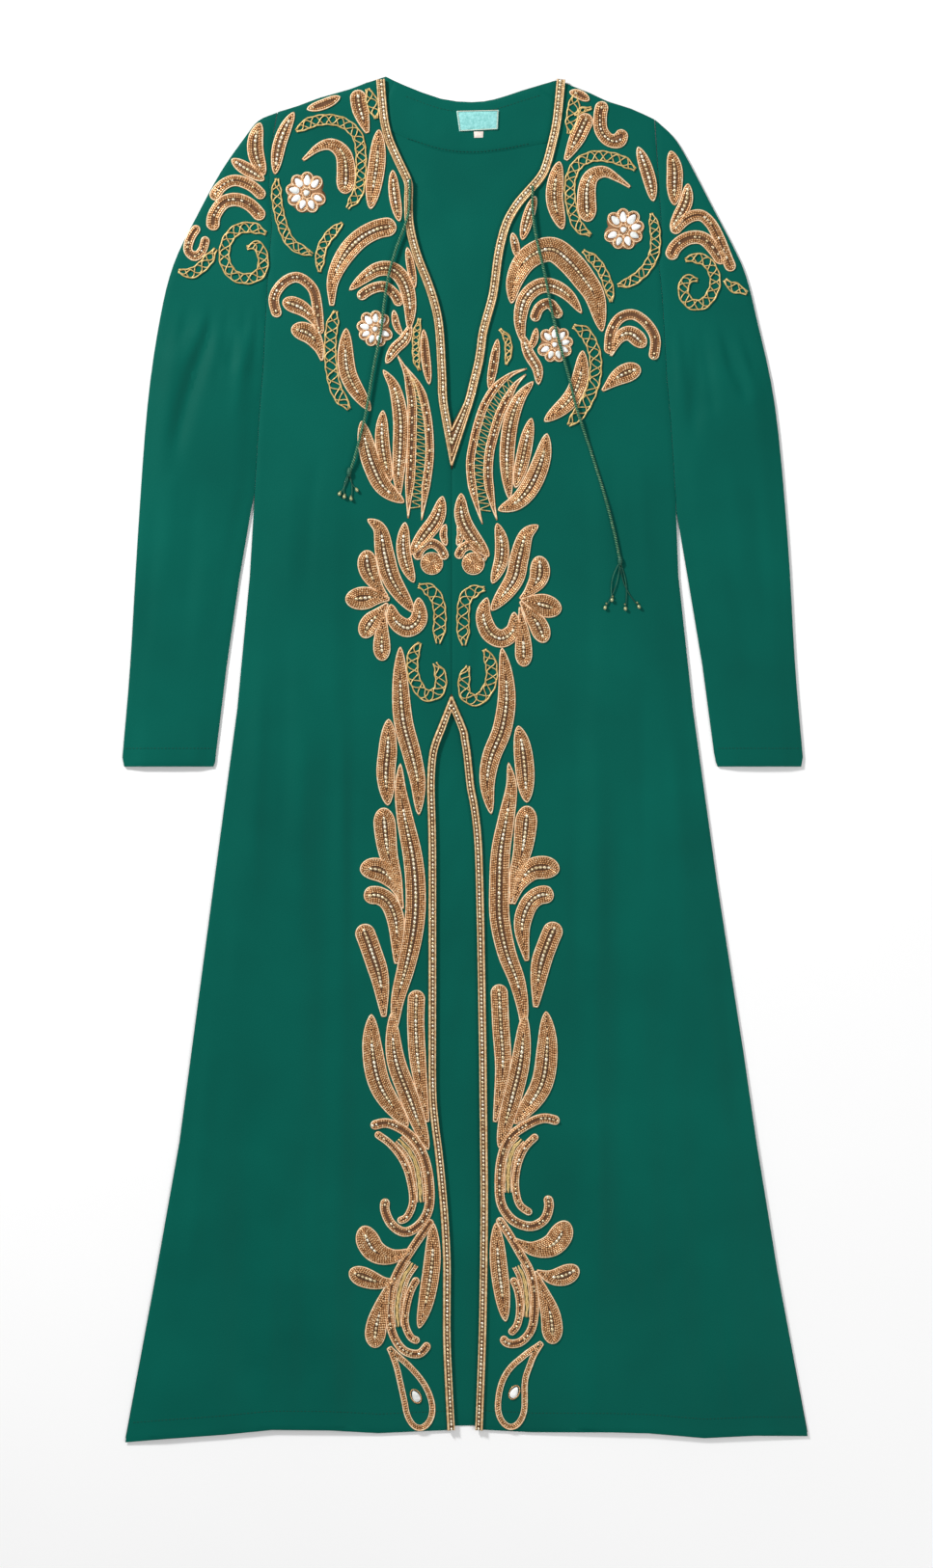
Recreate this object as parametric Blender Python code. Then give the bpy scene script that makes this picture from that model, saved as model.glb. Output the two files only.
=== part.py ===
"""A long silk kaftan laid flat on its back, with raised cord applique, open nets and two tie cords.

X runs to the right of the garment as it lies, Y towards the neck and Z up. The back's underside rests
at Z = 0 and the origin is at the middle of that footprint. Tables and names below are in millimetres,
and every mesh is made in metres.
"""
import math

import bmesh
import bpy
import numpy as np
from mathutils.geometry import delaunay_2d_cdt

MM = 0.001

# Layers, from the floor up
WALL = 1.2
LAYER_GAP = 0.3
BACK_TOP = WALL
FRONT_INNER = BACK_TOP + LAYER_GAP
FRONT_TOP = FRONT_INNER + WALL
LAID_ON = FRONT_TOP + LAYER_GAP
RELIEF = 2.2
RELIEF_EDGE = 1.4
NET_THICK = 0.9
TRIM_THICK = 2.2
TRIM_BEVEL = 1.8
FACING_THICK = 1.0
LABEL_THICK = 1.0

# Seams and folds
SEAM = 0.3
CENTRE_SEAM_X = -14.0
UNDER_TRIM = 1.2
FOLD_RISE = 4.0
FOLD_BORDER = (112, 138)
FOLD_TOP = (260, 345)
FOLD_SIDE = 34
SLEEVE_RISE = 4.6
SLEEVE_EDGE = 24
SLEEVE_FOLD_TOP = {-1: 479, 1: 458}
SLEEVE_WORK_LOW = 545
INNER_SHARE = 0.7
TURN = 1.5
CUFF_MOUTH = 2.6

# Trims, cords and tassels
NECK_TRIM = 9.0
SLIT_TRIM = 8.0
CORD = 3.0
CORD_STEP = 9.0
NET_BAR = 1.8
KNOT = 2.6
BEAD = 2.0
STRAND = 0.8

# Right-hand embroidery hangs lower than the left-hand one, most at the shoulder
DROP = 38.0
DROP_FROM = 180.0
DROP_FULL = 587.0

# Middle line of the embroidery: y, x
MIDDLE = ((700, 1), (440, 0), (330, -13), (65, -13), (-90, -10), (-270, -8), (-400, -4.5), (-520, 0), (-707, 0))

# Neck edge of the fronts: y, left x, right x
NECK_EDGE = (
    (705, -83, 95), (665, -79.5, 91), (640, -73, 86), (612, -60, 78), (597, -54, 67), (580, -54, 52),
    (560, -53.5, 40), (540, -50, 33.5), (520, -44, 29.5), (500, -36, 27), (480, -29, 24), (460, -24, 18.5),
    (440, -21.5, 13.5), (414, -20, 10), (370, -18, -1),
)
NECK_TIP = (346, 300)

# Inner edge of the trims on the front opening below the waist: y, left x, right x
SLIT_EDGE = (
    (30, -21, -6), (7, -29, -2), (-30, -31.5, 2), (-91, -30, 10), (-272, -30, 14), (-352, -29.5, 15),
    (-402, -24, 15.5), (-452, -19, 16), (-519, -15, 15.5), (-602, -15, 14), (-695, -10.5, 10.5),
)
SLIT_TIP = (50, 68)

# Curves of the outline: x, y
BACK_NECK = ((-82, 708), (-63, 699), (-25, 685), (7, 681.5), (31, 684.5), (59, 693.5), (94, 704))
SHOULDER = {
    -1: ((-102, 701.5), (-120, 694.5), (-150, 686), (-173, 677.5), (-194, 671)),
    1: ((111, 698), (130, 690.5), (148, 682), (172, 674.5), (196, 663.5)),
}
SLEEVE_OUTER = {
    -1: ((-195, 670.5), (-214, 662), (-228, 645), (-253, 609), (-279, 561), (-302, 513), (-316, 457),
         (-329, 367), (-339, 232), (-347, 97), (-355, 2)),
    1: ((197, 663), (216, 645), (231, 621), (256, 573), (278, 531), (291, 501), (302, 457), (321, 367),
        (334, 232), (342, 97), (350, 2)),
}
CUFF_Y = -7.5

# Armhole seam of the left side, from below the shoulder to the armpit: x, y
ARMHOLE = ((-200.5, 637), (-203, 597), (-200, 552), (-204, 507), (-207, 449), (-209, 407), (-213, 358), (-216, 308),
           (-218, 275))

# Side seam: y, left x, right x
SIDE = (
    (275, -218, 216), (190, -223, 221), (52, -236, 236), (-127, -260, 261), (-307, -284, 289),
    (-397, -296, 302), (-532, -320, 324), (-705, -352, 355),
)

# Inner edge of the sleeve: y, left x, right x
SLEEVE_INNER = ((257, -222, 219), (187, -234, 231), (97, -247, 246), (7, -258, 258), (-3, -259, 260))

# Hem of the fronts: x, y
HEM = (
    (-352, -708), (-312, -704.5), (-250, -700), (-200, -695), (-140, -695.5), (-90, -698.5), (-14, -695),
    (14, -694.5), (70, -697.5), (150, -697.5), (190, -698.5), (248, -703.5), (300, -701), (355, -701.5),
)
BACK_HEM_RISE = 4.0

# Folds of the skirt and the sleeves, as troughs between softly raised cloth: width, depth, path
SKIRT_FOLDS = {
    -1: (
        (17, 0.95, ((-139, 80), (-140, 0), (-142, -120), (-147, -420), (-151, -520))),
        (20, 0.90, ((-221, -330), (-226, -420), (-230, -560), (-234, -720))),
        (15, 0.45, ((-160, -350), (-165, -560), (-167, -720))),
        (16, 0.45, ((-198, 200), (-200, 0), (-203, -150))),
        (15, 0.40, ((-290, -400), (-303, -640))),
    ),
    1: (
        (20, 1.00, ((158, -10), (158, -250), (160, -450), (162, -600))),
        (15, 0.60, ((117, -180), (119, -330), (122, -470))),
        (15, 0.85, ((118, 330), (121, 260), (124, 200), (125, 110), (126, 30))),
        (16, 0.45, ((201, -180), (206, -400), (211, -640))),
        (16, 0.40, ((234, -240), (240, -450), (249, -720))),
        (18, 0.40, ((300, -450), (314, -680))),
    ),
}
SLEEVE_FOLDS = {
    -1: (
        (9, 1.00, ((-256, 510), (-257, 480), (-262, 455), (-272, 424), (-286, 380), (-296, 340), (-302, 300))),
        (7, 0.75, ((-236, 490), (-239, 450), (-244, 395))),
        (6, 0.60, ((-224, 485), (-228, 440))),
        (8, 0.80, ((-211, 470), (-214, 420), (-219, 380))),
        (8, 0.55, ((-284, 480), (-290, 437))),
        (9, 0.50, ((-222, 290), (-236, 232), (-250, 170), (-259, 115))),
    ),
    1: (
        (10, 0.90, ((226, 497), (233, 455), (237, 410), (237, 375), (234, 318))),
        (8, 0.70, ((266, 450), (275, 425), (286, 393), (297, 365))),
        (7, 0.50, ((287, 467), (297, 440), (307, 402))),
        (7, 0.55, ((246, 440), (252, 400), (258, 350))),
        (8, 0.50, ((222, 250), (236, 180), (247, 110))),
    ),
}

# Raised motifs of the fronts: kind, width, spine on the left, spine on the right. A drop's spine runs
# from its thin root to its round head. MIRROR takes the left spine across the middle line and lowers it.
MIRROR = "mirror"
FRONT_MOTIFS = (
    ("leaf", 11, ((-164, 673.5), (-146, 679), (-129, 687)), None),
    ("band", 14, None, ((143, 682), (140, 667), (141, 652), (149, 642), (160, 641), (163, 653))),
    ("leaf", 10, None, ((108, 692), (118, 689), (129, 683))),
    ("leaf", 14, ((-177, 671), (-186, 654), (-193, 634), (-197, 606)), ((179, 635), (186, 617), (192, 597), (195, 578))),
    ("drop", 20, ((-168, 621), (-152, 634), (-138, 637), (-126, 627), (-123, 607), (-125, 586)),
     ((171, 593), (158, 602), (144, 609), (131, 604), (126, 588), (127, 557))),
    ("leaf", 18, ((-89, 653), (-91, 620), (-95, 592), (-98, 570)), ((98, 620), (94, 600), (93, 578), (101, 549))),
    ("hook", 17, ((-111, 694), (-110, 680), (-106, 665), (-101, 649)), ((128, 669), (119, 650), (111, 634), (104, 621))),
    ("leaf", 12, ((-75, 611), (-73, 585), (-68, 557)), ((73, 584), (66, 564), (59, 538))),
    ("hook", 20, ((-71, 553), (-92, 549), (-112, 537), (-128, 517), (-137, 495), (-138, 470)), None),
    ("leaf", 26, None, ((48, 472), (51, 495), (61, 515), (76, 526), (92, 528), (108, 516), (123, 498), (135, 478),
                        (142, 443))),
    ("leaf", 16, ((-120, 486), (-106, 498), (-90, 508), (-74, 507), (-62, 493), (-57, 470), (-58, 444)),
     ((121, 462), (108, 480), (92, 490), (76, 490), (62, 477), (57, 455), (60, 430))),
    ("band", 11, ((-111, 478), (-98, 487), (-84, 490), (-73, 482), (-67, 470)), ((71, 454), (77, 468), (88, 472), (99, 458))),
    ("leaf", 12, ((-56, 451), (-62, 436), (-73, 425), (-82, 410)), ((59, 441), (66, 421), (75, 405), (76, 388))),
    ("leaf", 8, ((-74, 466), (-71, 450), (-65, 439)), MIRROR),
    ("leaf", 9, ((-60, 531), (-56, 510), (-52, 488)), ((49, 546), (52, 533), (54, 520))),
    ("leaf", 18, ((-123, 447), (-123.5, 415), (-118, 392), (-98, 361)), ((122, 424), (119, 395), (108, 372), (82, 350))),
    ("band", 11, ((-194, 458), (-198, 478), (-188, 494), (-173, 499.5), (-158, 488), (-153, 468), (-151, 440)),
     ((149, 420), (151, 442), (160, 457), (174, 461), (188, 452), (197, 436), (195, 414))),
    ("drop", 17, ((-152, 444), (-159, 458), (-170, 468), (-189, 475)), ((151, 418), (160, 437), (172, 441), (187, 428))),
    ("drop", 20, ((-148, 413), (-152, 428), (-162, 441), (-180, 447)), ((142, 382), (160, 397), (182, 406))),
    ("leaf", 10, ((-43, 446), (-41, 418), (-37, 388)), ((34, 436), (30, 412), (25, 383))),
    ("slim", 10, ((-70, 419), (-60, 398), (-55, 370), (-55, 340), (-56, 305), (-58, 275), (-59, 250)),
     ((63, 399), (52, 388), (43, 372), (35.5, 356), (29.5, 336), (25, 316), (24, 292), (28, 267), (33, 248))),
    ("slim", 9, ((-62, 408), (-47, 385), (-40, 360), (-37, 335), (-37, 310), (-41, 280), (-45, 248)),
     ((64, 405), (48, 399), (32, 386), (21, 369), (14, 350), (9, 330), (5.5, 308), (7.5, 283), (14, 257), (18, 244))),
    ("leaf", 16, ((-85, 404), (-73, 385), (-67, 355), (-67, 325), (-69, 295), (-68, 272)),
     ((71, 392), (57, 375), (48, 352), (44, 325), (43.5, 300), (46, 269))),
    ("leaf", 15, ((-85, 362), (-86, 335), (-83, 310), (-77, 288)), ((69, 354), (64, 332), (59, 308), (52, 281))),
    ("leaf", 20, ((-107, 351), (-102, 325), (-95, 303), (-84, 282), (-63, 266)),
     ((85, 338), (80, 312), (69, 285), (54, 267), (34, 258))),
    ("leaf", 17, ((-23, 273), (-29, 250), (-42, 232), (-57, 212)), ((-4, 276), (-3, 252), (6, 233), (25, 210))),
    ("leaf", 8, ((-20, 244), (-22.5, 233), (-19.5, 221)), ((-7, 244), (-4.5, 233), (-8, 221))),
    ("band", 10, ((-51, 207), (-45, 219), (-34.5, 224), (-25, 218), (-20, 207)),
     ((-8, 208), (-3, 218), (6, 222), (15, 216), (20, 205))),
    ("leaf", 20, ((-101, 249), (-88, 238), (-83, 212), (-75, 185), (-53, 152)),
     ((76, 243), (63, 232), (56, 208), (50, 185), (27, 154))),
    ("leaf", 15, ((-62, 246), (-64, 222), (-61, 203), (-53, 183)), ((33, 245), (38, 225), (37, 205), (28, 182))),
    ("drop", 21, ((-80, 168), (-91, 180), (-100, 197), (-102, 217)), ((57, 166), (68, 176), (77, 190), (77, 211))),
    ("drop", 24, ((-78, 166), (-92, 168), (-106, 167), (-124, 165)), ((58, 166), (73, 162), (87, 158), (100, 155))),
    ("drop", 20, ((-80, 162), (-90, 150), (-99, 140), (-106, 126)), ((57, 164), (68, 150), (76, 139), (83, 121))),
    ("drop", 18, ((-83, 154), (-86, 130), (-86, 102)), ((57, 158), (60, 130), (61, 96))),
    ("leaf", 19, ((-77, 161), (-73, 145), (-60, 136), (-48, 145), (-48, 168)),
     ((23, 168), (19, 150), (25, 132), (38, 125), (50, 134), (51, 153))),
    ("leaf", 20, ((-67, 117), (-67, 80), (-64, 40), (-55, 5), (-48.7, -25), (-48, -58)),
     ((38, 116), (42, 90), (43, 60), (38, 30), (27, 2), (23, -25), (27, -57))),
    ("leaf", 20, ((-79, 42), (-80, 10), (-82, -15), (-80, -48)), ((55, 35), (59, 15), (62, -12), (64, -45))),
    ("leaf", 21, ((-67, -4), (-67, -30), (-62, -62), (-54, -102), (-51, -140), (-53, -175), (-61, -215), (-70, -250),
                  (-73, -285)),
     ((45, -3), (48, -28), (43, -60), (37, -95), (35.5, -130), (36, -165), (43, -200), (54, -230), (60, -260),
      (60, -285))),
    ("drop", 23, ((-65, -155), (-71, -125), (-80, -95), (-85, -50)), ((47, -150), (52, -120), (60, -92), (65, -48))),
    ("drop", 24, ((-67, -146), (-74, -128), (-88, -115), (-109, -113)),
     ((50, -150), (57, -128), (72, -113), (98, -113))),
    ("hook", 19, ((-105, -142), (-90, -141), (-78, -150), (-71, -172), (-71, -212)),
     ((92, -141), (77, -141), (65, -152), (59, -175), (64, -209))),
    ("hook", 21, ((-107, -171), (-97, -198), (-88, -228), (-84, -267)),
     ((95, -169), (86, -190), (78, -215), (73, -257))),
    ("hook", 18, ((-50, -239), (-51, -275), (-48, -320), (-39, -376)),
     ((35, -233), (37, -275), (39, -320), (31, -376))),
    ("leaf", 23, ((-97, -264), (-96, -300), (-87, -340), (-59, -381)),
     ((84, -261), (85, -300), (78, -340), (51, -378))),
    ("leaf", 20, ((-76, -262), (-72, -310), (-56, -355), (-38, -405)),
     ((62, -262), (58, -310), (49, -350), (35, -403))),
    ("band", 10, ((-98, -380), (-80, -377), (-60, -387), (-46, -404), (-38, -430), (-37, -462), (-46, -481),
                  (-62, -490), (-76, -482), (-83, -467), (-82, -455)),
     ((98, -375), (80, -372), (60, -381), (45, -394), (37.5, -415), (35.5, -440), (38, -462), (50, -478), (68, -484),
      (82, -477), (87, -463), (85, -452))),
    ("band", 8, ((-93, -387), (-77, -399), (-64, -416), (-57, -435), (-54, -458), (-60, -474), (-70, -479)),
     ((75, -389), (63, -401), (56, -415), (52.5, -431), (52.5, -447), (57, -462), (69, -471))),
    ("drop", 25, ((-54, -508), (-76, -515), (-95, -508), (-107, -484)),
     ((50, -497), (70, -507), (92, -502), (107, -479))),
    ("drop", 21, ((-70, -540), (-86, -542), (-104, -537), (-120, -530)),
     ((74, -530), (88, -536), (102, -535), (118, -527))),
    ("drop", 22, ((-78, -540), (-86, -565), (-92, -588), (-94, -610)),
     ((73, -530), (82, -555), (89, -578), (91, -606))),
    ("band", 9, ((-34, -477), (-46, -494), (-58, -512), (-69, -530), (-77, -550), (-79, -572), (-75, -595),
                 (-64, -612), (-48, -616), (-37, -605)),
     ((34, -475), (46, -493), (57, -512), (67, -530), (71.5, -550), (72, -573), (68, -592), (57, -604), (44, -605),
      (38, -598))),
    ("band", 8, ((-49, -537), (-56, -550), (-61, -568), (-62, -585), (-56, -599), (-47, -603)),
     ((49, -537), (55, -552), (56.8, -570), (54, -586), (46, -596))),
    ("leaf", 18, ((-33, -480), (-34, -520), (-40, -560), (-48, -590)),
     ((32, -480), (34.5, -520), (38, -550), (42, -583))),
    ("drop", 34, ((-79, -609), (-62, -635), (-49, -665), (-46, -696)),
     ((80, -604), (64, -622), (50, -648), (47, -695))),
)

# Rosettes: x, y and radius on the left; the right ones are mirrored
ROSETTES = ((-164, 587, 22), (-93, 446, 19))
ROSETTE_LOBES = 8
SCROLL_DISCS = ((-34.5, 203, 11.5),)

SLEEVE_MOTIFS = (
    ("leaf", 17, ((-212, 660), (-217, 642), (-216, 625), (-208, 605)),
     ((213, 631), (217, 612), (217, 594), (217, 574))),
    ("leaf", 14, ((-242, 622), (-230, 614), (-218, 607), (-208, 600)),
     ((231, 597), (229, 578), (221, 562), (213, 549))),
    ("band", 12, ((-262, 580), (-252, 594), (-238, 600), (-221, 594), (-208, 582)),
     ((214, 546), (229, 560), (243, 564), (254, 556), (263, 540), (271, 520), (277, 506))),
    ("band", 14, ((-261, 548), (-260, 563), (-250, 577), (-236, 580), (-222, 574), (-209, 560)),
     ((212, 518), (218, 531), (231, 540), (246, 540), (258, 529), (268, 514))),
    ("band", 9.5, ((-276, 553), (-284, 541), (-287, 528), (-280, 521), (-272, 528), (-268, 542)), None),
)

# Open nets of couched cord: name, width, cells, spine on the left, spine on the right
NETS = (
    ("net_ring", 9, 13, ((-175, 651), (-160, 660), (-142, 663), (-125, 659), (-112, 647), (-108, 630),
                          (-108, 605), (-111, 587), (-122, 571)),
     ((176, 611), (165, 619), (150, 624), (133, 625), (118, 618), (110, 604), (108.5, 588), (111, 570), (117, 553),
      (130, 543))),
    ("net_ring_low", 8.5, 7, ((-195, 602), (-195, 580), (-189, 553), (-179, 534), (-158, 523)),
     ((193, 566), (197, 546), (196, 525), (187, 508), (173, 496), (158, 491))),
    ("net_strip", 8, 4, ((-127, 556), (-141, 542), (-149, 527), (-151, 505)),
     ((122, 527), (136, 515), (145, 500), (150, 484), (151, 474))),
    ("net_spiral", 9, 13, ((-206, 545), (-220, 551), (-236, 549), (-247, 536), (-249, 517), (-240, 502), (-225, 498),
                           (-212, 504), (-209, 519), (-215, 532), (-226, 530)),
     ((228, 517.5), (238, 519.5), (250, 516), (258, 503), (258, 488), (248, 473), (234, 472), (226, 484), (230, 497),
      (241, 497))),
    ("net_edge", 9, 4, ((-297, 506), (-283, 504), (-270, 513), (-258, 529)),
     ((269, 497), (275, 491), (284, 487), (292, 483))),
    ("net_chest", 10.5, 8, ((-134, 465), (-139, 440), (-139, 410), (-133, 382), (-120, 363)),
     ((112, 449), (125, 441), (134, 422), (135, 400), (130, 380), (120, 361), (107, 346))),
    ("net_neck", 5.5, 5, ((-47, 457), (-50.7, 437), (-50.5, 415), (-47.5, 403)),
     ((36, 446), (43.5, 436), (45, 422), (42.5, 409))),
    ("net_waist", 11, 6, ((-48.5, 180), (-39, 177), (-30, 168), (-26, 150), (-28, 120)),
     ((20.5, 177), (11, 175), (1, 168), (-2, 150), (-1.5, 118))),
    ("net_waist_low", 10, 9, ((-47, 121), (-54, 106), (-53, 85), (-42, 67), (-28, 70), (-25, 85), (-31, 100)),
     ((20, 114), (27, 98), (26, 78), (14, 62), (1, 66), (-1, 82), (3, 97))),
    ("net_hook", 5.5, 6, ((-69, -393.5), (-58, -405.5), (-50.7, -420), (-47.2, -440), (-46.2, -459)),
     ((58.5, -393.5), (50.5, -403), (46.3, -416), (44.5, -431), (44.8, -449))),
    ("net_stem", 5.2, 5, ((-54, -522), (-63, -536), (-68, -552), (-70.5, -570), (-69, -588)),
     ((55, -524.5), (60.7, -537), (63.3, -552), (64.2, -567), (63.4, -578))),
)

# Tie cords, lying on the fronts: x, y
CORD_ROUTE = {
    -1: ((-57, 601), (-58, 570), (-63, 551), (-71, 530), (-79, 502), (-84, 471), (-87, 443), (-94, 410),
         (-102, 363), (-106, 345), (-112, 321), (-117, 304)),
    1: ((70, 594), (70, 571), (73, 544), (82, 505), (91, 459), (99, 427), (108, 394), (116, 362), (130, 320),
        (144, 275), (153, 241), (159, 213)),
}
OVER_RAISED = FRONT_TOP + RELIEF + LAYER_GAP + CORD / 2
OVER_TRIM = LAID_ON + TRIM_THICK + LAYER_GAP + CORD / 2
ON_CLOTH = FRONT_TOP + LAYER_GAP + CORD / 2
RAISED_ENDS = {-1: (314, 292), 1: (352, 326)}
TASSELS = {
    -1: ((-120, 297), ((-130, 275), (-125, 272), (-118, 270), (-112, 279))),
    1: ((160.5, 205), ((145, 157), (152, 165), (166, 156), (180, 158))),
}

LABEL = ((-9, 672), (35, 673), (34, 653), (-6, 651))
SIZE_TAB = ((9, 650.7), (19, 650.9), (18.5, 644.5), (9.5, 644.3))
FACING_ARC = ((-60, 641.5), (-24, 630.5), (7, 627.5), (38, 630.5), (66, 636))

COLOURS = {
    "crepe": ((0.0, 0.12, 0.075), 0.6, 0.0),
    "copper_cord": ((0.75, 0.42, 0.26), 0.4, 0.5),
    "gold_cord": ((0.55, 0.40, 0.12), 0.35, 0.7),
    "label": ((0.25, 0.62, 0.60), 0.8, 0.0),
    "tie": ((0.02, 0.16, 0.08), 0.7, 0.0),
}


def clear_scene():
    for item in list(bpy.data.objects):
        bpy.data.objects.remove(item, do_unlink=True)


def material(key):
    found = bpy.data.materials.get(key)
    if found:
        return found
    colour, roughness, metallic = COLOURS[key]
    made = bpy.data.materials.new(key)
    made.use_nodes = True
    shader = made.node_tree.nodes["Principled BSDF"]
    shader.inputs["Base Color"].default_value = (*colour, 1.0)
    shader.inputs["Roughness"].default_value = roughness
    shader.inputs["Metallic"].default_value = metallic
    return made


def add_object(name, points, faces, key):
    """Make one closed body from points in millimetres, with its faces turned outward."""
    mesh = bpy.data.meshes.new(name)
    mesh.from_pydata([tuple(value * MM for value in point) for point in points], [], faces)
    work = bmesh.new()
    work.from_mesh(mesh)
    bmesh.ops.recalc_face_normals(work, faces=work.faces)
    work.to_mesh(mesh)
    work.free()
    mesh.materials.append(material(key))
    item = bpy.data.objects.new(name, mesh)
    bpy.context.scene.collection.objects.link(item)
    return item


def smooth_path(points, pieces):
    """Catmull-Rom curve through the points, with a number of pieces to each span."""
    points = [np.array(point, float) for point in points]
    if len(points) < 3:
        return [tuple(points[0] + (points[1] - points[0]) * i / pieces) for i in range(pieces + 1)]
    padded = [2 * points[0] - points[1], *points, 2 * points[-1] - points[-2]]
    curve = []
    for i in range(len(points) - 1):
        a, b, c, d = padded[i:i + 4]
        for j in range(pieces):
            t = j / pieces
            curve.append(tuple(0.5 * (2 * b + (c - a) * t + (2 * a - 5 * b + 4 * c - d) * t ** 2
                                      + (3 * b - a - 3 * c + d) * t ** 3)))
    curve.append(tuple(points[-1]))
    return curve


def even_path(points, count):
    """The smooth curve through the points, cut into count pieces of equal length."""
    fine = np.array(smooth_path(points, 12))
    lengths = np.concatenate([[0.0], np.cumsum(np.hypot(*np.diff(fine, axis=0).T))])
    marks = np.linspace(0.0, lengths[-1], count + 1)
    return np.stack([np.interp(marks, lengths, fine[:, axis]) for axis in (0, 1)], axis=1)


def normals_of(path):
    """Unit normals, to the left of the way the path runs."""
    run = np.gradient(path, axis=0)
    run /= np.hypot(run[:, 0], run[:, 1])[:, None]
    return np.stack([-run[:, 1], run[:, 0]], axis=1)


def offset(path, distance):
    path = np.array(path, float)
    return path + normals_of(path) * np.reshape(distance, (-1, 1))


def ramp(value, start, end):
    """0 at start, 1 at end, smooth between."""
    t = np.clip((np.asarray(value, float) - start) / (end - start), 0.0, 1.0)
    return t * t * (3.0 - 2.0 * t)


def middle_x(y):
    rows = MIDDLE[::-1]
    return np.interp(y, [row[0] for row in rows], [row[1] for row in rows])


def mirrored(path):
    """A left-hand path carried across the middle line and lowered as the right side hangs."""
    result = []
    for x, y in path:
        lean = middle_x(y) * (1.0 - float(ramp(abs(x), 110, 190)))
        share = min(max((y - DROP_FROM) / (DROP_FULL - DROP_FROM), 0.0), 1.0)
        result.append((2.0 * lean - x, y - DROP * share ** 2))
    return tuple(result)


def side_path(left, right, side):
    if side < 0:
        return left
    return mirrored(left) if isinstance(right, str) else right


def column(rows, side):
    """The x, y points of one side from rows of y, left x, right x."""
    return [(row[1] if side < 0 else row[2], row[0]) for row in rows]


def hem_y(x):
    return float(np.interp(x, [row[0] for row in HEM], [row[1] for row in HEM]))


def distance_to(points, path):
    """Distance of each point to an open path, and how far along the path the nearest place is, 0 to 1."""
    path = np.array(path, float)
    lengths = np.concatenate([[0.0], np.cumsum(np.hypot(*np.diff(path, axis=0).T))])
    best = np.full(len(points), 1e9)
    along = np.zeros(len(points))
    for i in range(len(path) - 1):
        run = path[i + 1] - path[i]
        size = float(run @ run)
        if size == 0.0:
            continue
        t = np.clip((points - path[i]) @ run / size, 0.0, 1.0)
        gap = np.hypot(*(points - path[i] - t[:, None] * run).T)
        nearer = gap < best
        best[nearer] = gap[nearer]
        along[nearer] = (lengths[i] + t[nearer] * math.sqrt(size)) / lengths[-1]
    return best, along


def inside(points, loop):
    """Whether each point lies inside a closed loop."""
    loop = np.array(loop, float)
    x, y = points[:, 0], points[:, 1]
    result = np.zeros(len(points), bool)
    for (ax, ay), (bx, by) in zip(loop, np.roll(loop, -1, axis=0)):
        if ay == by:
            continue
        crosses = (ay > y) != (by > y)
        result ^= crosses & (x < (bx - ax) * (y - ay) / (by - ay) + ax)
    return result


def caps_of(kind, width, length):
    """Shares of the spine that a round start and a round end take up."""
    cap = min(width / 2 / length, 0.42)
    start = cap if kind in ("band", "hook") else 0.0
    end = {"band": cap, "drop": min(1.5 * cap, 0.7)}.get(kind, 0.0)
    return start, end


def half_width(kind, t, width, length):
    """Half the motif's width at a share t of its spine."""
    half = width / 2
    start, end = caps_of(kind, width, length)
    if start and t < start:
        return half * math.sqrt(max(1.0 - ((start - t) / start) ** 2, 0.0))
    if end and t > 1.0 - end:
        return half * math.sqrt(max(1.0 - ((t - 1.0 + end) / end) ** 2, 0.0))
    if kind == "leaf":
        return half * max(1.0 - abs(2.0 * t - 1.0) ** 2.4, 0.0) ** 0.6
    if kind == "slim":
        return half * min(1.0, 4.0 * t + 0.15, 4.0 * (1.0 - t) + 0.15)
    if kind == "drop":
        return half * (0.18 + 0.82 * math.sin(math.pi / 2 * t / (1.0 - end)) ** 1.3)
    if kind == "hook":
        return half * (1.0 - 0.75 * max((t - 0.45) / 0.55, 0.0) ** 1.5)
    return half


def motif_loops(kind, width, path):
    """Foot and top loops of a raised motif: the top is the foot drawn in by the sloped edge."""
    length = float(np.sum(np.hypot(*np.diff(np.array(smooth_path(path, 12)), axis=0).T)))
    spine = even_path(path, 60)
    sides = normals_of(spine)
    start, end = caps_of(kind, width, length)
    count = max(2, min(9, round(length * (1.0 - start - end) / 22)))
    shares = [start + (1.0 - start - end) * i / count for i in range(count + 1)]
    if kind == "leaf":
        shares = [shares[0], 0.45 / count, *shares[1:-1], 1.0 - 0.45 / count, shares[-1]]
    if start:
        shares = [0.0, start * (1.0 - math.sqrt(0.5)), *shares]
    if end:
        shares += [1.0 - end * (1.0 - math.sqrt(0.5)), 1.0]
    shrink = 1.0 - 2.0 * RELIEF_EDGE / width

    def place(share, reach):
        spot = [np.interp(share * 60, range(61), spine[:, axis]) for axis in (0, 1)]
        aside = [np.interp(share * 60, range(61), sides[:, axis]) for axis in (0, 1)]
        return (spot[0] + aside[0] * reach, spot[1] + aside[1] * reach)

    def drawn_in(share):
        half = half_width(kind, share, width, length)
        if start and share < start:
            return start - (start - share) * shrink, half * shrink
        if end and share > 1.0 - end:
            return 1.0 - end + (share - 1.0 + end) * shrink, half * shrink
        tip = min(RELIEF_EDGE * (1.2 if kind == "leaf" else 1.0) / length, 0.2 / count)
        nearest = tip if share == 0.0 else share
        furthest = 1.0 - tip if share == 1.0 else nearest
        return furthest, max(half - RELIEF_EDGE, 0.4 * half)

    foot_left, foot_right, top_left, top_right = [], [], [], []
    for share in shares:
        half = half_width(kind, share, width, length)
        inner_share, inner_half = drawn_in(share)
        foot_left.append(place(share, half))
        top_left.append(place(inner_share, inner_half))
        if half > 0.05:
            foot_right.append(place(share, -half))
            top_right.append(place(inner_share, -inner_half))
    return foot_left + foot_right[::-1], top_left + top_right[::-1]


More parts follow.
